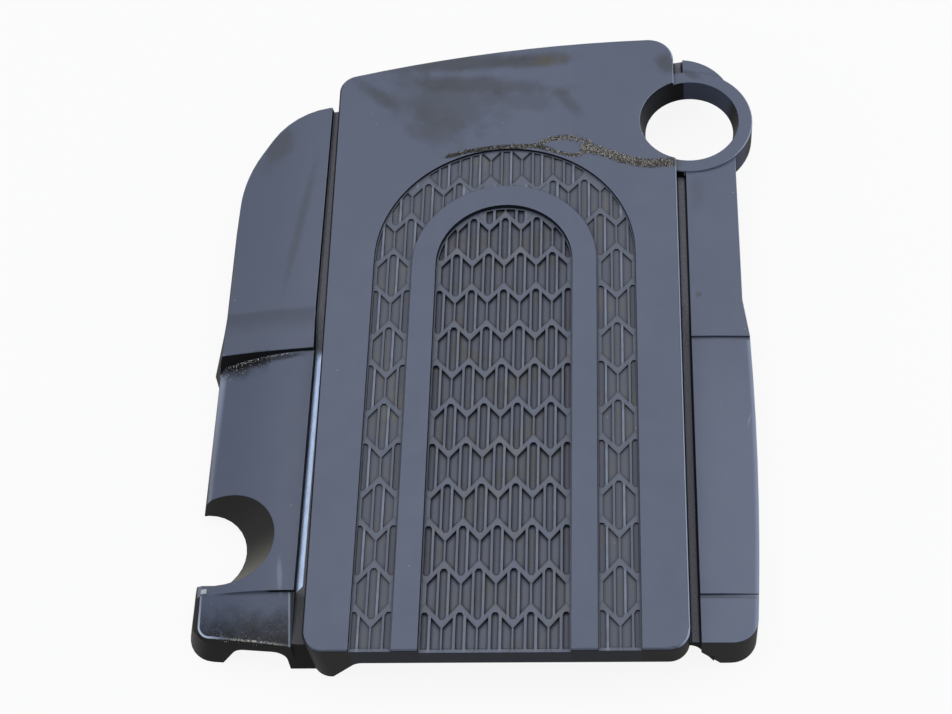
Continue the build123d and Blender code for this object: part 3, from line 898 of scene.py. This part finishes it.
    def grooves(self) -> Socket:
        """Give the grooves beside the plate their dull floor, and the left one its painted reflection strip.

        Returns:
            The mask of the strip.
        """
        wire, sight, plan, tint = self.kit
        rim = 1.3 * MM
        lean = wire.product(wire.minus(sight.along, plan.front_y), plan.plate_flare)
        from_plate = wire.math("ADD", sight.across, lean)
        bottom = plan.top - plan.groove_depth
        low = wire.fall(sight.height, bottom - MM, bottom)
        left = wire.product(
            wire.ramp(sight.across, plan.left_wing_x, plan.left_wing_x + SOFT),
            wire.fall(from_plate, plan.plate_left_x - rim - SOFT, plan.plate_left_x - rim),
        )
        right = self.within(sight.across, plan.plate_right_x + rim, plan.right_wing_x - rim)
        both = self.within(sight.across, plan.left_wing_x, plan.right_wing_x)
        plate = self.within(sight.across, plan.plate_left_x, plan.plate_right_x)
        outside = wire.math("SUBTRACT", both, plate, clamp=True)
        # Painted shade: the groove floors start dark, and keep it in lines along the walls.
        self.lay(wire.product(outside, low, sight.up), tint.shade_line, tint.matt, tint.wall_shine)
        floor = wire.product(wire.math("MAXIMUM", left, right), low, sight.up)
        speckle = wire.ramp(self.noise(SPECKLE_SCALE, 3.0, 0.7), 0.3, 0.7)
        self.lay(floor, wire.paint(tint.groove_dark, tint.groove_light, speckle), *tint.dust_feel)
        shut = wire.ramp(sight.along, plan.box_y - 4 * MM, plan.box_y + 4 * MM, 0.6, 0.0)
        self.lay(wire.product(floor, wire.fall(sight.across, 0.0, MM), shut), tint.clean)
        # Painted reflection: a pale blue glossy strip along the left groove's floor.
        strip = wire.product(left, low, sight.up, self.reflection_strip_shape())
        self.lay(strip, tint.strip, *tint.strip_feel)
        return strip

    def reflection_strip_shape(self) -> Socket:
        """Make the mask of the painted reflection strip, from its mitred front end to the step.

        Returns:
            The mask.
        """
        wire, sight, plan, _ = self.kit
        slant = 1.2
        mitre = wire.math("ADD", sight.along, wire.product(sight.across, -slant))
        front = plan.box_y - slant * plan.left_wing_x
        start = wire.ramp(mitre, front, front + MM)
        end = wire.fall(sight.along, plan.step_y - 4 * MM, plan.step_y + 5 * MM)
        edge = plan.left_wing_x + plan.strip_width
        side = wire.fall(sight.across, edge - 0.4 * MM, edge + 0.4 * MM)
        drawn = wire.vector("MULTIPLY", sight.place, (1.0, 0.08, 1.0))
        # The painted reflection fades in streaks along the strip.
        fading = wire.ramp(wire.noise(drawn, SPECKLE_SCALE), 0.3, 0.6, 0.80, 1.0)
        return wire.product(start, end, side, fading)

    def edges(self) -> None:
        """Paint highlights and shade on edges, and lighten the right wing's steps."""
        wire, sight, plan, tint = self.kit
        off_lattice = wire.minus(1.0, self.zone(plan.band_half + MM))
        # Painted highlight on the edges that face right.
        right = wire.product(wire.ramp(sight.lean_right, 0.25, 0.6), sight.tilted, off_lattice)
        self.lay(right, tint.glint, *tint.glint_feel)
        # Painted shade on the plate's edges that face left.
        on_plate = self.within(sight.across, plan.plate_left_x - 8 * MM, plan.plate_right_x, MM)
        left = wire.product(wire.fall(sight.lean_right, -0.6, -0.3), sight.tilted, off_lattice, on_plate)
        self.lay(left, tint.clean, *tint.dull_feel)
        # Painted highlight on the lower left panel's brow, fading towards the front.
        ahead = wire.fall(sight.along, plan.step_y - 8 * MM, plan.step_y)
        brow_highlight = wire.fall(sight.across, plan.brow_x - 2 * MM, plan.brow_x + 1.5 * MM)
        highlight_reach = wire.ramp(sight.along, plan.step_y - 110 * MM, plan.step_y - 15 * MM)
        colour = wire.paint(tint.film, tint.brow_highlight, highlight_reach)
        self.lay(wire.product(ahead, brow_highlight, sight.up), colour, *tint.rim_feel)
        # Painted highlight along the right wing's outer edge.
        self.lay(wire.product(self.outer_highlight(), sight.up), tint.glint)
        # The right wing's walls that face the front are lightened with the film's shaded colour.
        wing = wire.ramp(sight.across, plan.right_wing_x, plan.right_wing_x + MM)
        behind = wire.ramp(sight.along, plan.front_y + 30 * MM, plan.front_y + 34 * MM)
        steps = wire.ramp(sight.lean_front, 0.3, 0.6)
        self.lay(wire.product(wing, behind, steps, 0.6), tint.film_shade)

    def outer_highlight(self) -> Socket:
        """Make the mask of the soft painted highlight along the right wing's bowed outer edge.

        Returns:
            The mask.
        """
        wire, sight, plan, _ = self.kit
        middle_x, middle_y = plan.right_edge_middle
        share = wire.math("DIVIDE", wire.minus(sight.along, middle_y), plan.right_edge_half)
        lean = wire.math("MULTIPLY_ADD", share, plan.right_edge_lean, middle_x)
        bow = wire.product(share, share, plan.right_edge_bow)
        inward = wire.minus(wire.minus(lean, bow), sight.across)
        front = wire.fall(sight.along, plan.step_y, plan.step_y + MM)
        return wire.product(wire.ramp(inward, 0.5 * MM, 4 * MM, 0.55, 0.0), front)

    def crease(self) -> None:
        """Shade the left wing in front of its crease."""
        wire, sight, plan, tint = self.kit
        crease_x, crease_y = plan.crease
        lean = wire.product(wire.minus(sight.across, crease_x), plan.crease_lean)
        behind = wire.minus(wire.minus(sight.along, crease_y), lean)
        rear = wire.fall(behind, 0.0, 4.5 * MM)
        front = wire.ramp(behind, -20 * MM, -MM)
        wing = wire.fall(sight.across, plan.left_wing_x - MM, plan.left_wing_x)
        self.lay(wire.product(rear, front, wing, sight.up, 0.36), tint.shade_line)

    def corner_shade(self) -> None:
        """Paint shade where floors and walls meet, fainter in the shallow band."""
        wire, sight, plan, tint = self.kit
        inputs = {"Distance": 2.4 * MM}
        clear = wire.node("ShaderNodeAmbientOcclusion", inputs, samples=2, only_local=True).outputs["AO"]
        closed = wire.ramp(clear, 0.5, 0.86, 0.85, 0.0)
        band = wire.product(self.zone(plan.band_half), self.at_depth(plan.band_floor))
        strength = wire.ramp(band, 0.0, 1.0, 1.0, 0.5)
        self.lay(wire.product(closed, strength, sight.up), tint.shade_line)

    def marks(self) -> None:
        """Add the smears, the stains under the grit and the scattered specks."""
        wire, sight, _, tint = self.kit
        layers = {
            tint.smear: FILM_SMEARS,
            tint.brown: BROWN_SMEARS,
            tint.soot: STEP_SMEARS,
            tint.wiped: PALE_SMEARS,
            tint.soil: TRAIL_SOIL,
            tint.stain: TRAIL_STAINS,
        }
        coarse = self.noise(SMEAR_SCALE, 5.0, 0.6)
        fine = self.noise(STREAK_SCALE, 3.0, 0.6)
        for colour, smears in layers.items():
            shine = tint.wall_shine if colour == tint.soot else None
            for smear in smears:
                inputs = {
                    "Place": sight.place,
                    "Centre": (*smear.centre, 0.0),
                    "Half Size": (*smear.half, 1.0),
                    "Turn": radians(-smear.turn),
                    "Ragged": smear.ragged,
                    "Noise": fine if smear.half[1] < STREAK_HALF else coarse,
                }
                mask = wire.effect(self.effects.smear, inputs)
                self.lay(wire.product(mask, smear.strength, sight.up), colour, shine=shine)
        self.lay(wire.product(self.specks(240.0, 0.02, 0.13), sight.up, 0.5), tint.speck)

    def front_box(self) -> None:
        """Darken the front left box towards its front as painted shade, and make it glossy and specked."""
        wire, sight, plan, tint = self.kit
        side = wire.fall(sight.across, plan.left_wing_x - 0.3 * MM, plan.left_wing_x)
        region = wire.product(side, wire.fall(sight.along, plan.box_y - SOFT, plan.box_y))
        # Painted shade: black covers the film towards the box's front, and the film left at its rear stands
        # in for a reflection.
        cloud = wire.product(self.noise(PAINTED_LIGHT_SCALE, 7.0, 0.8), 40 * MM)
        depth = wire.math("ADD", sight.along, cloud)
        fading = wire.ramp(depth, plan.box_y - 18 * MM, plan.box_y + 18 * MM, 0.95, 0.0)
        self.lay(wire.product(region, sight.up, fading), tint.clean)
        self.lay(wire.product(region, sight.tilted), None, *tint.box_feel)
        self.lay(wire.product(region, sight.up, self.specks(1700.0, 0.05, 0.4), fading), tint.speck)
        self.box_rim(region)
        # Painted light: the step wall left of the slit gets the film's colour, so that it does not read
        # dark.
        lit_step_wall = wire.product(
            self.within(sight.along, plan.box_y - 3 * MM, plan.box_y + 1.5 * MM),
            self.within(sight.across, plan.notch_foot_x, plan.slit_left_x, 6 * MM),
            wire.ramp(sight.lean_front, 0.3, 0.6),
        )
        self.lay(lit_step_wall, tint.film_shade, tint.matt, tint.film_shine)

    def box_rim(self, region: Socket) -> None:
        """Paint a highlight line round the front left box, and darken what lies outside it.

        Args:
            region: Mask of the box.
        """
        wire, sight, plan, tint = self.kit
        corner_x, corner_y = plan.box_corner
        line = 0.6 * MM
        shear = wire.product(wire.minus(sight.across, plan.box_middle_x), plan.box_slope)
        squared = wire.math("ADD", sight.along, shear)
        leftward = wire.math("MAXIMUM", wire.minus(corner_x, sight.across), 0.0)
        frontward = wire.math("MAXIMUM", wire.minus(corner_y, squared), 0.0)
        away = self.distance(leftward, frontward)
        outside = wire.ramp(away, plan.box_round - 0.2 * MM, plan.box_round + 0.2 * MM)
        self.lay(wire.product(region, outside, sight.tilted), tint.box_wall, tint.matt, tint.wall_shine)
        # Painted highlight along the rounded rim, brightest on the left and at the front.
        highlight_ring = self.within(away, plan.box_round - 1.5 * MM, plan.box_round, line)
        rim = wire.product(region, highlight_ring, sight.up)
        rounded = wire.ramp(sight.across, corner_x - 6 * MM, corner_x + 16 * MM, 1.0, 0.12)
        lower = wire.ramp(sight.along, corner_y - 2 * MM, plan.box_y, 1.0, 0.35)
        self.lay(wire.product(rim, rounded, lower), tint.rim_light, *tint.rim_feel)
        patches = wire.ramp(self.noise(RUBBED_SCALE), 0.46, 0.62)
        middle = plan.box_middle_x
        rubbed = self.within(sight.across, middle - 16 * MM, middle + 22 * MM, 14 * MM)
        self.lay(wire.product(rim, rubbed, patches), tint.worn_rim, *tint.worn_feel)
        shift = wire.product(wire.minus(sight.along, plan.box_y), plan.box_right_lean)
        straight = wire.math("ADD", sight.across, shift)
        ridge = plan.box_right_x + 0.4 * MM
        edge = self.within(straight, ridge - 1.3 * MM, ridge, line)
        beyond = wire.ramp(straight, ridge, ridge + SOFT)
        # Painted shade beyond the box's right edge, and a painted highlight along it.
        self.lay(wire.product(region, beyond, sight.up), tint.clean)
        self.lay(wire.product(region, edge, sight.up, 0.6), tint.glint)

    def notch(self) -> None:
        """Blacken the notch's wall, paint light on its front in warm grey, and mark the small pad beside it.
        """
        wire, sight, plan, tint = self.kit
        middle_x = wire.math("MULTIPLY_ADD", sight.height, plan.notch_lean, plan.notch_foot_x)
        radius = wire.math("MULTIPLY_ADD", sight.height, plan.notch_flare, plan.notch_foot_radius)
        rightward = wire.minus(sight.across, middle_x)
        rearward = wire.minus(sight.along, plan.notch_y)
        away = self.distance(rightward, rearward)
        wall = wire.fall(wire.minus(away, radius), 0.1 * MM, 0.6 * MM)
        # Painted light: the wall turns a lighter warm grey towards its front, where it faces up.
        lit_front = wire.fall(rearward, -30 * MM, 10 * MM)
        self.lay(wall, wire.paint(tint.notch_dark, tint.notch_lit_grey, lit_front), *tint.notch_feel)
        soft = 0.4 * MM
        pad = wire.product(
            self.within(sight.across, *plan.pad_x, soft),
            self.within(sight.along, *plan.pad_y, soft),
            sight.tilted,
        )
        self.lay(pad, tint.speck)


@dataclass(frozen=True)
class GrommetRubber:
    """Matt black rubber of the bushes under the cover."""

    effects: Effects
    black: Colour = (0.014, 0.014, 0.014)
    bloom: Colour = (0.040, 0.039, 0.038)
    grain: GrainRelief = GrainRelief(2200.0, 0.0, 0.3, 0.05 * MM)

    def make(self) -> bpy.types.Material:
        """Build the material.

        Returns:
            The material.
        """
        material, wire, shader = blank_material("grommet_rubber")
        place = wire.place()
        cloud = wire.ramp(wire.noise(place, 160.0, 4.0), 0.35, 0.7)
        inputs = {
            "Base Color": wire.paint(self.black, self.bloom, cloud),
            "Roughness": wire.ramp(cloud, 0.0, 1.0, 0.6, 0.8),
            "Normal": self.grain.normal(wire, self.effects.grain, place),
        }
        wire.fill(shader, inputs)
        return material


def smooth_faces(limit: float, side_x: float) -> bpy.types.NodeTree:
    """Make the nodes that shade curved faces smooth, up to a limit at which an edge stays sharp.

    Args:
        limit: Least angle of a sharp edge, in degrees.
        side_x: Faces on the left of this place are shaded smooth even if they are flat.

    Returns:
        The group for a nodes modifier.
    """
    tree = bpy.data.node_groups.new("smooth_faces", "GeometryNodeTree")
    for side in ("INPUT", "OUTPUT"):
        tree.interface.new_socket("Mesh", in_out=side, socket_type="NodeSocketGeometry")
    wire = Wiring(tree)
    given = wire.node("NodeGroupInput").outputs[0]
    angle = wire.node("GeometryNodeInputMeshEdgeAngle").outputs["Unsigned Angle"]
    sharp = wire.node("FunctionNodeCompare", {0: angle, 1: radians(limit)}, operation="GREATER_THAN")
    across = wire.part(wire.node("GeometryNodeInputPosition").outputs[0], Axis.X)
    on_side = wire.node("FunctionNodeCompare", {0: across, 1: side_x}, operation="LESS_THAN")
    curved = wire.node("GeometryNodeInputShadeSmooth").outputs[0]
    flat = wire.node("FunctionNodeBooleanMath", {0: curved, 1: on_side.outputs[0]}, operation="NOR")
    inputs = {
        "Mesh": given,
        "Remove Custom": True,
        "Edge Sharpness": sharp.outputs[0],
        "Face Sharpness": flat.outputs[0],
    }
    shaded = wire.node("GeometryNodeSetMeshNormal", inputs, mode="SHARPNESS").outputs[0]
    wire.node("NodeGroupOutput", {0: shaded})
    return tree


@dataclass
class CoverShell:
    """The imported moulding, with its edges eased and its plastic on."""

    node: bpy.types.Object
    finish: MouldedPlastic
    weld: float = 0.004 * MM
    edge_width: float = 0.5 * MM
    edge_steps: int = 2
    edge_angle: float = 28.0

    def dress(self) -> None:
        """Put the material on, smooth the curved faces and ease the edges."""
        self.node.data.materials.clear()
        self.node.data.materials.append(self.finish.make())
        weld = self.node.modifiers.new("weld", "WELD")
        weld.merge_threshold = self.weld
        shade = self.node.modifiers.new("smooth_faces", "NODES")
        shade.node_group = smooth_faces(self.edge_angle, self.finish.layout.left_wing_x - MM)
        ease = self.node.modifiers.new("eased_edges", "BEVEL")
        ease.width = self.edge_width
        ease.segments = self.edge_steps
        ease.limit_method = "ANGLE"
        ease.angle_limit = radians(self.edge_angle)
        ease.use_clamp_overlap = False
        ease.harden_normals = True


@dataclass
class StudGrommets:
    """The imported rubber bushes."""

    node: bpy.types.Object
    finish: GrommetRubber

    def dress(self) -> None:
        """Put the rubber on."""
        self.node.data.materials.clear()
        self.node.data.materials.append(self.finish.make())


class Grain(Enum):
    """Kinds of grain in the dirt, by their material's place on the piece."""

    PALE = 0
    BROWN = 1
    DARK = 2
    WHITE = 3


@dataclass(frozen=True)
class GrainFinish:
    """Matt mineral or dirt of one kind of grain."""

    kind: Grain
    colour: Colour
    shade: Colour

    def make(self) -> bpy.types.Material:
        """Build the material.

        Returns:
            The material.
        """
        material, wire, shader = blank_material(f"grit_{self.kind.name.lower()}")
        cloud = wire.ramp(wire.noise(wire.place(), 700.0, 3.0), 0.35, 0.65)
        colour = wire.paint(self.shade, self.colour, cloud)
        wire.fill(shader, {"Base Color": colour, "Roughness": wire.ramp(cloud, 0.0, 1.0, 0.55, 0.8)})
        return material


GRAIN_FINISHES = (
    GrainFinish(Grain.PALE, (0.48, 0.465, 0.43), (0.27, 0.258, 0.235)),
    GrainFinish(Grain.BROWN, (0.165, 0.153, 0.135), (0.085, 0.078, 0.068)),
    GrainFinish(Grain.DARK, (0.030, 0.027, 0.023), (0.014, 0.012, 0.010)),
    GrainFinish(Grain.WHITE, (0.90, 0.91, 0.92), (0.62, 0.63, 0.66)),
)
SOIL = (Grain.PALE, Grain.BROWN, Grain.DARK)
CHIPS = (Grain.WHITE, Grain.PALE, Grain.DARK)


@dataclass(frozen=True)
class GritRun:
    """One run of loose grit along a route on the cover.

    Attributes:
        route: Points of the route in plan.
        count: How many grains lie on it.
        spread: Half its width at the start and at the end.
        sizes: Smallest and largest radius of a grain.
        shares: Shares of the first two kinds of grain at the start and at the end.
        kinds: The three kinds of grain in it.
    """

    route: tuple[tuple[float, float], ...]
    count: int
    spread: tuple[float, float]
    sizes: tuple[float, float]
    shares: tuple[tuple[float, float], tuple[float, float]]
    kinds: tuple[Grain, Grain, Grain] = SOIL

    def place(self, draw: random.Random) -> tuple[Vector, float]:
        """Pick a place on the run.

        Args:
            draw: Source of the random picks.

        Returns:
            The place in plan and the share of the route before it.
        """
        points = [Vector(point) for point in self.route]
        legs = [(b - a).length for a, b in zip(points, points[1:])]
        share = draw.random()
        left = share * sum(legs)
        leg = 0
        while left > legs[leg] and leg < len(legs) - 1:
            left -= legs[leg]
            leg += 1
        along = points[leg].lerp(points[leg + 1], left / legs[leg])
        across = (points[leg + 1] - points[leg]).normalized().orthogonal()
        width = self.spread[0] + (self.spread[1] - self.spread[0]) * share
        return along + across * draw.triangular(-1.0, 1.0) * width, share

    def kind(self, share: float, draw: random.Random) -> Grain:
        """Pick the kind of a grain.

        Args:
            share: Share of the route before the grain.
            draw: Source of the random picks.

        Returns:
            The kind.
        """
        first, second = (a + (b - a) * share for a, b in zip(*self.shares))
        pick = draw.random()
        if pick < first:
            return self.kinds[0]
        return self.kinds[1] if pick < first + second else self.kinds[2]


TRAIL_RUNS = (
    GritRun(
        route=((-0.0325, 0.1540), (-0.0136, 0.1592), (0.0107, 0.1623), (0.0431, 0.1622)),
        count=1300,
        spread=(0.0022, 0.0030),
        sizes=(0.00024, 0.00056),
        shares=((0.06, 0.18), (0.22, 0.34)),
    ),
    GritRun(
        route=((0.0420, 0.1630), (0.0511, 0.1690), (0.0646, 0.1704), (0.0778, 0.1666), (0.0860, 0.1610)),
        count=620,
        spread=(0.0022, 0.0034),
        sizes=(0.00026, 0.00060),
        shares=((0.28, 0.40), (0.40, 0.40)),
    ),
    GritRun(
        route=((0.0431, 0.1602), (0.0566, 0.1560), (0.0698, 0.1516), (0.0807, 0.1545)),
        count=560,
        spread=(0.0016, 0.0026),
        sizes=(0.00024, 0.00054),
        shares=((0.15, 0.38), (0.34, 0.42)),
    ),
    GritRun(
        route=(
            (0.0760, 0.1595),
            (0.0914, 0.1555),
            (0.1050, 0.1490),
            (0.1177, 0.1444),
            (0.1300, 0.1415),
            (0.1500, 0.1425),
        ),
        count=2400,
        spread=(0.0052, 0.0046),
        sizes=(0.00026, 0.00064),
        shares=((0.46, 0.34), (0.20, 0.50)),
    ),
)
STEP_RUNS = (
    GritRun(
        route=((-0.2040, -0.0276), (-0.1900, -0.0254), (-0.1730, -0.0228), (-0.1500, -0.0197)),
        count=130,
        spread=(0.0028, 0.0014),
        sizes=(0.00014, 0.00036),
        kinds=CHIPS,
        shares=((0.90, 0.08), (0.70, 0.25)),
    ),
    GritRun(
        route=((-0.2020, -0.0330), (-0.1830, -0.0305), (-0.1600, -0.0230)),
        count=80,
        spread=(0.0085, 0.0030),
        sizes=(0.00012, 0.00026),
        kinds=CHIPS,
        shares=((0.80, 0.15), (0.70, 0.25)),
    ),
)
BOX_RUNS = (
    GritRun(
        route=((-0.1900, -0.2480), (-0.1640, -0.2522), (-0.1380, -0.2555)),
        count=150,
        spread=(0.0050, 0.0026),
        sizes=(0.00010, 0.00020),
        kinds=CHIPS,
        shares=((0.60, 0.25), (0.45, 0.45)),
    ),
)


@dataclass
class Grit:
    """Loose grit that lies on the cover as one piece of small grains.

    Attributes:
        name: Name of the piece.
        ground: The node that it lies on.
        runs: The runs that it is made of.
        seed: Seed of the random picks.
        level: Least rise of a face that holds a grain.
        lowest: Lowest height that the grains lie at.
        lift: Height of a grain's middle over its face, in radii.
        widths: Least and largest stretch of a grain across.
        heights: Least and largest stretch of a grain upwards.
        batch: How many grains are made at a time.
    """

    name: str
    ground: bpy.types.Object
    runs: tuple[GritRun, ...]
    seed: int
    level: float = 0.8
    lowest: float = 0.0
    lift: float = 0.35
    widths: tuple[float, float] = (0.7, 1.3)
    heights: tuple[float, float] = (0.6, 0.9)
    batch: int = 100

    def build(self, materials: Sequence[bpy.types.Material]) -> bpy.types.Object:
        """Scatter the grains and put their materials on.

        Args:
            materials: Materials in the order of the kinds of grain.

        Returns:
            The piece.
        """
        draw = random.Random(self.seed)
        mesh = bpy.data.meshes.new(self.name)
        shape = bmesh.new()
        for run in self.runs:
            for start in range(0, run.count, self.batch):
                self.drop_batch(mesh, run, min(self.batch, run.count - start), draw)
                shape.from_mesh(mesh)
        shape.to_mesh(mesh)
        shape.free()
        for material in materials:
            mesh.materials.append(material)
        piece = add_object(self.name, mesh)
        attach(piece, ROOT_BODY)
        return piece

    def drop_batch(self, mesh: bpy.types.Mesh, run: GritRun, count: int, draw: random.Random) -> None:
        """Drop some grains of a run into a mesh, in place of what is in it.

        Args:
            mesh: The mesh.
            run: The run.
            count: How many grains are dropped.
            draw: Source of the random picks.
        """
        shape = bmesh.new()
        for _ in range(count):
            self.drop(shape, run, draw)
        shape.to_mesh(mesh)
        shape.free()

    def drop(self, shape: bmesh.types.BMesh, run: GritRun, draw: random.Random) -> None:
        """Drop one grain of a run, if there is a face below that holds it.

        Args:
            shape: The mesh that the grain goes into.
            run: The run.
            draw: Source of the random picks.
        """
        plan, share = run.place(draw)
        radius = draw.uniform(*run.sizes)
        kind = run.kind(share, draw)
        turn = Euler((draw.uniform(0, pi), draw.uniform(0, pi), draw.uniform(0, pi)))
        ranges = (self.widths, self.widths, self.heights)
        stretch = Vector([draw.uniform(*limits) for limits in ranges])
        found, spot, facing, _ = self.ground.ray_cast(Vector((*plan, 1.0)), Vector((0.0, 0.0, -1.0)))
        if not found or facing.z < self.level or spot.z < self.lowest:
            return
        at = spot + facing * radius * self.lift
        matrix = Matrix.LocRotScale(at, turn, stretch * radius)
        made = bmesh.ops.create_icosphere(shape, subdivisions=1, radius=1.0, matrix=matrix)
        for face in {face for vert in made["verts"] for face in vert.link_faces}:
            face.material_index = kind.value


@dataclass
class Studio:
    """Pale floor, soft lamps and the camera."""

    camera_at: tuple[float, float, float] = (0.12657, -0.73899, 1.2509)
    camera_aim: tuple[float, float, float] = (-0.00299, -0.0341, 0.050)
    camera_roll: float = -10.13
    camera_lens: float = 69.96
    sensor: float = 36.0
    floor_half: float = 6.0
    floor_white: float = 0.9
    sky: Colour = (0.88, 0.93, 1.0)
    sky_strength: float = 0.40

    def build(self) -> None:
        """Make the floor, the sky, the lamps and the camera."""
        self.floor()
        self.world()
        self.lamps()
        self.camera()

    def floor(self) -> None:
        """Lay the floor that the cover stands on."""
        shape = bmesh.new()
        bmesh.ops.create_grid(shape, x_segments=1, y_segments=1, size=self.floor_half)
        mesh = bpy.data.meshes.new("studio_floor")
        shape.to_mesh(mesh)
        shape.free()
        floor = add_object("studio_floor", mesh)
        mesh.materials.append(self.floor_material())

    def floor_material(self) -> bpy.types.Material:
        """Make the white floor, which keeps a faint shadow.

        Returns:
            The material.
        """
        material = bpy.data.materials.new("studio_floor")
        wire = fresh_wiring(material)
        matt = wire.node("ShaderNodeBsdfDiffuse", {"Color": (0.85, 0.85, 0.85, 1.0)})
        white = wire.node("ShaderNodeEmission", {"Color": WHITE, "Strength": 1.0})
        rays = wire.node("ShaderNodeLightPath").outputs
        seen = wire.math("MAXIMUM", rays["Is Camera Ray"], rays["Is Glossy Ray"])
        seen = wire.math("MAXIMUM", seen, rays["Is Transmission Ray"])
        share = wire.product(seen, self.floor_white)
        mixed = wire.node("ShaderNodeMixShader", {0: share, 1: matt.outputs[0], 2: white.outputs[0]})
        wire.node("ShaderNodeOutputMaterial", {"Surface": mixed.outputs[0]})
        return material

    def world(self) -> None:
        """Make the even sky."""
        world = bpy.data.worlds.new("studio_sky")
        bpy.context.scene.world = world
        wire = fresh_wiring(world)
        rays = wire.node("ShaderNodeLightPath").outputs
        light = wire.node("ShaderNodeBackground", {"Color": (*self.sky, 1.0), "Strength": self.sky_strength})
        white = wire.node("ShaderNodeBackground", {"Color": WHITE, "Strength": 1.0})
        mixed = wire.node(
            "ShaderNodeMixShader", {0: rays["Is Camera Ray"], 1: light.outputs[0], 2: white.outputs[0]}
        )
        wire.node("ShaderNodeOutputWorld", {"Surface": mixed.outputs[0]})

    def lamps(self) -> None:
        """Hang the soft lamps."""
        self.lamp("overhead", (0.0, 0.5, 2.2), 2.4, 20.0)
        self.lamp("left_bank", (-2.0, -0.3, 1.1), 1.4, 9.0)
        self.lamp("right_bank", (2.0, 0.2, 1.2), 1.4, 13.0)

    def lamp(self, name: str, at: Sequence[float], size: float, power: float) -> None:
        """Hang one square lamp that faces the origin.

        Args:
            name: Name of the lamp.
            at: Its place.
            size: Length of its side.
            power: Its power in watts.
        """
        data = bpy.data.lights.new(name, "AREA")
        data.shape = "SQUARE"
        data.size = size
        data.energy = power
        lamp = add_object(name, data)
        lamp.location = at
        lamp.rotation_euler = (-Vector(at)).to_track_quat("-Z", "Y").to_euler()

    def camera(self) -> None:
        """Set the camera up as the photograph's."""
        data = bpy.data.cameras.new("camera")
        data.lens = self.camera_lens
        data.sensor_width = self.sensor
        data.clip_end = 50.0
        camera = add_object("camera", data)
        sight = Vector(self.camera_aim) - Vector(self.camera_at)
        roll = Quaternion((0.0, 0.0, 1.0), radians(self.camera_roll))
        camera.rotation_euler = (sight.to_track_quat("-Z", "Y") @ roll).to_euler()
        camera.location = self.camera_at
        bpy.context.scene.camera = camera


def main() -> None:
    """Load the cover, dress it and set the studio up."""
    logging.basicConfig(level=logging.INFO, format="%(message)s")
    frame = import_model()
    bpy.context.scene.view_settings.view_transform = "Standard"
    effects = Effects.make()
    node = frame["nodes"]["cover_shell"]
    layout = CoverLayout(top=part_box("cover_shell")[1].z)
    grains = [finish.make() for finish in GRAIN_FINISHES]
    on_plate = layout.top - 0.2 * MM
    grits = (
        Grit("trail_grit", node, TRAIL_RUNS, seed=11, lowest=on_plate),
        Grit("step_grit", node, STEP_RUNS, seed=12),
        Grit("box_grit", node, BOX_RUNS, seed=13, level=0.5),
    )
    for grit in grits:
        piece = grit.build(grains)
        LOG.info("scattered %s, %d faces", piece.name, len(piece.data.polygons))
    shell = CoverShell(node, MouldedPlastic(layout, effects))
    shell.dress()
    LOG.info("dressed %s", shell.node.name)
    grommets = StudGrommets(frame["nodes"]["stud_grommets"], GrommetRubber(effects))
    grommets.dress()
    LOG.info("dressed %s", grommets.node.name)
    Studio().build()
    LOG.info("set the studio up")


if __name__ == "__main__":
    main()
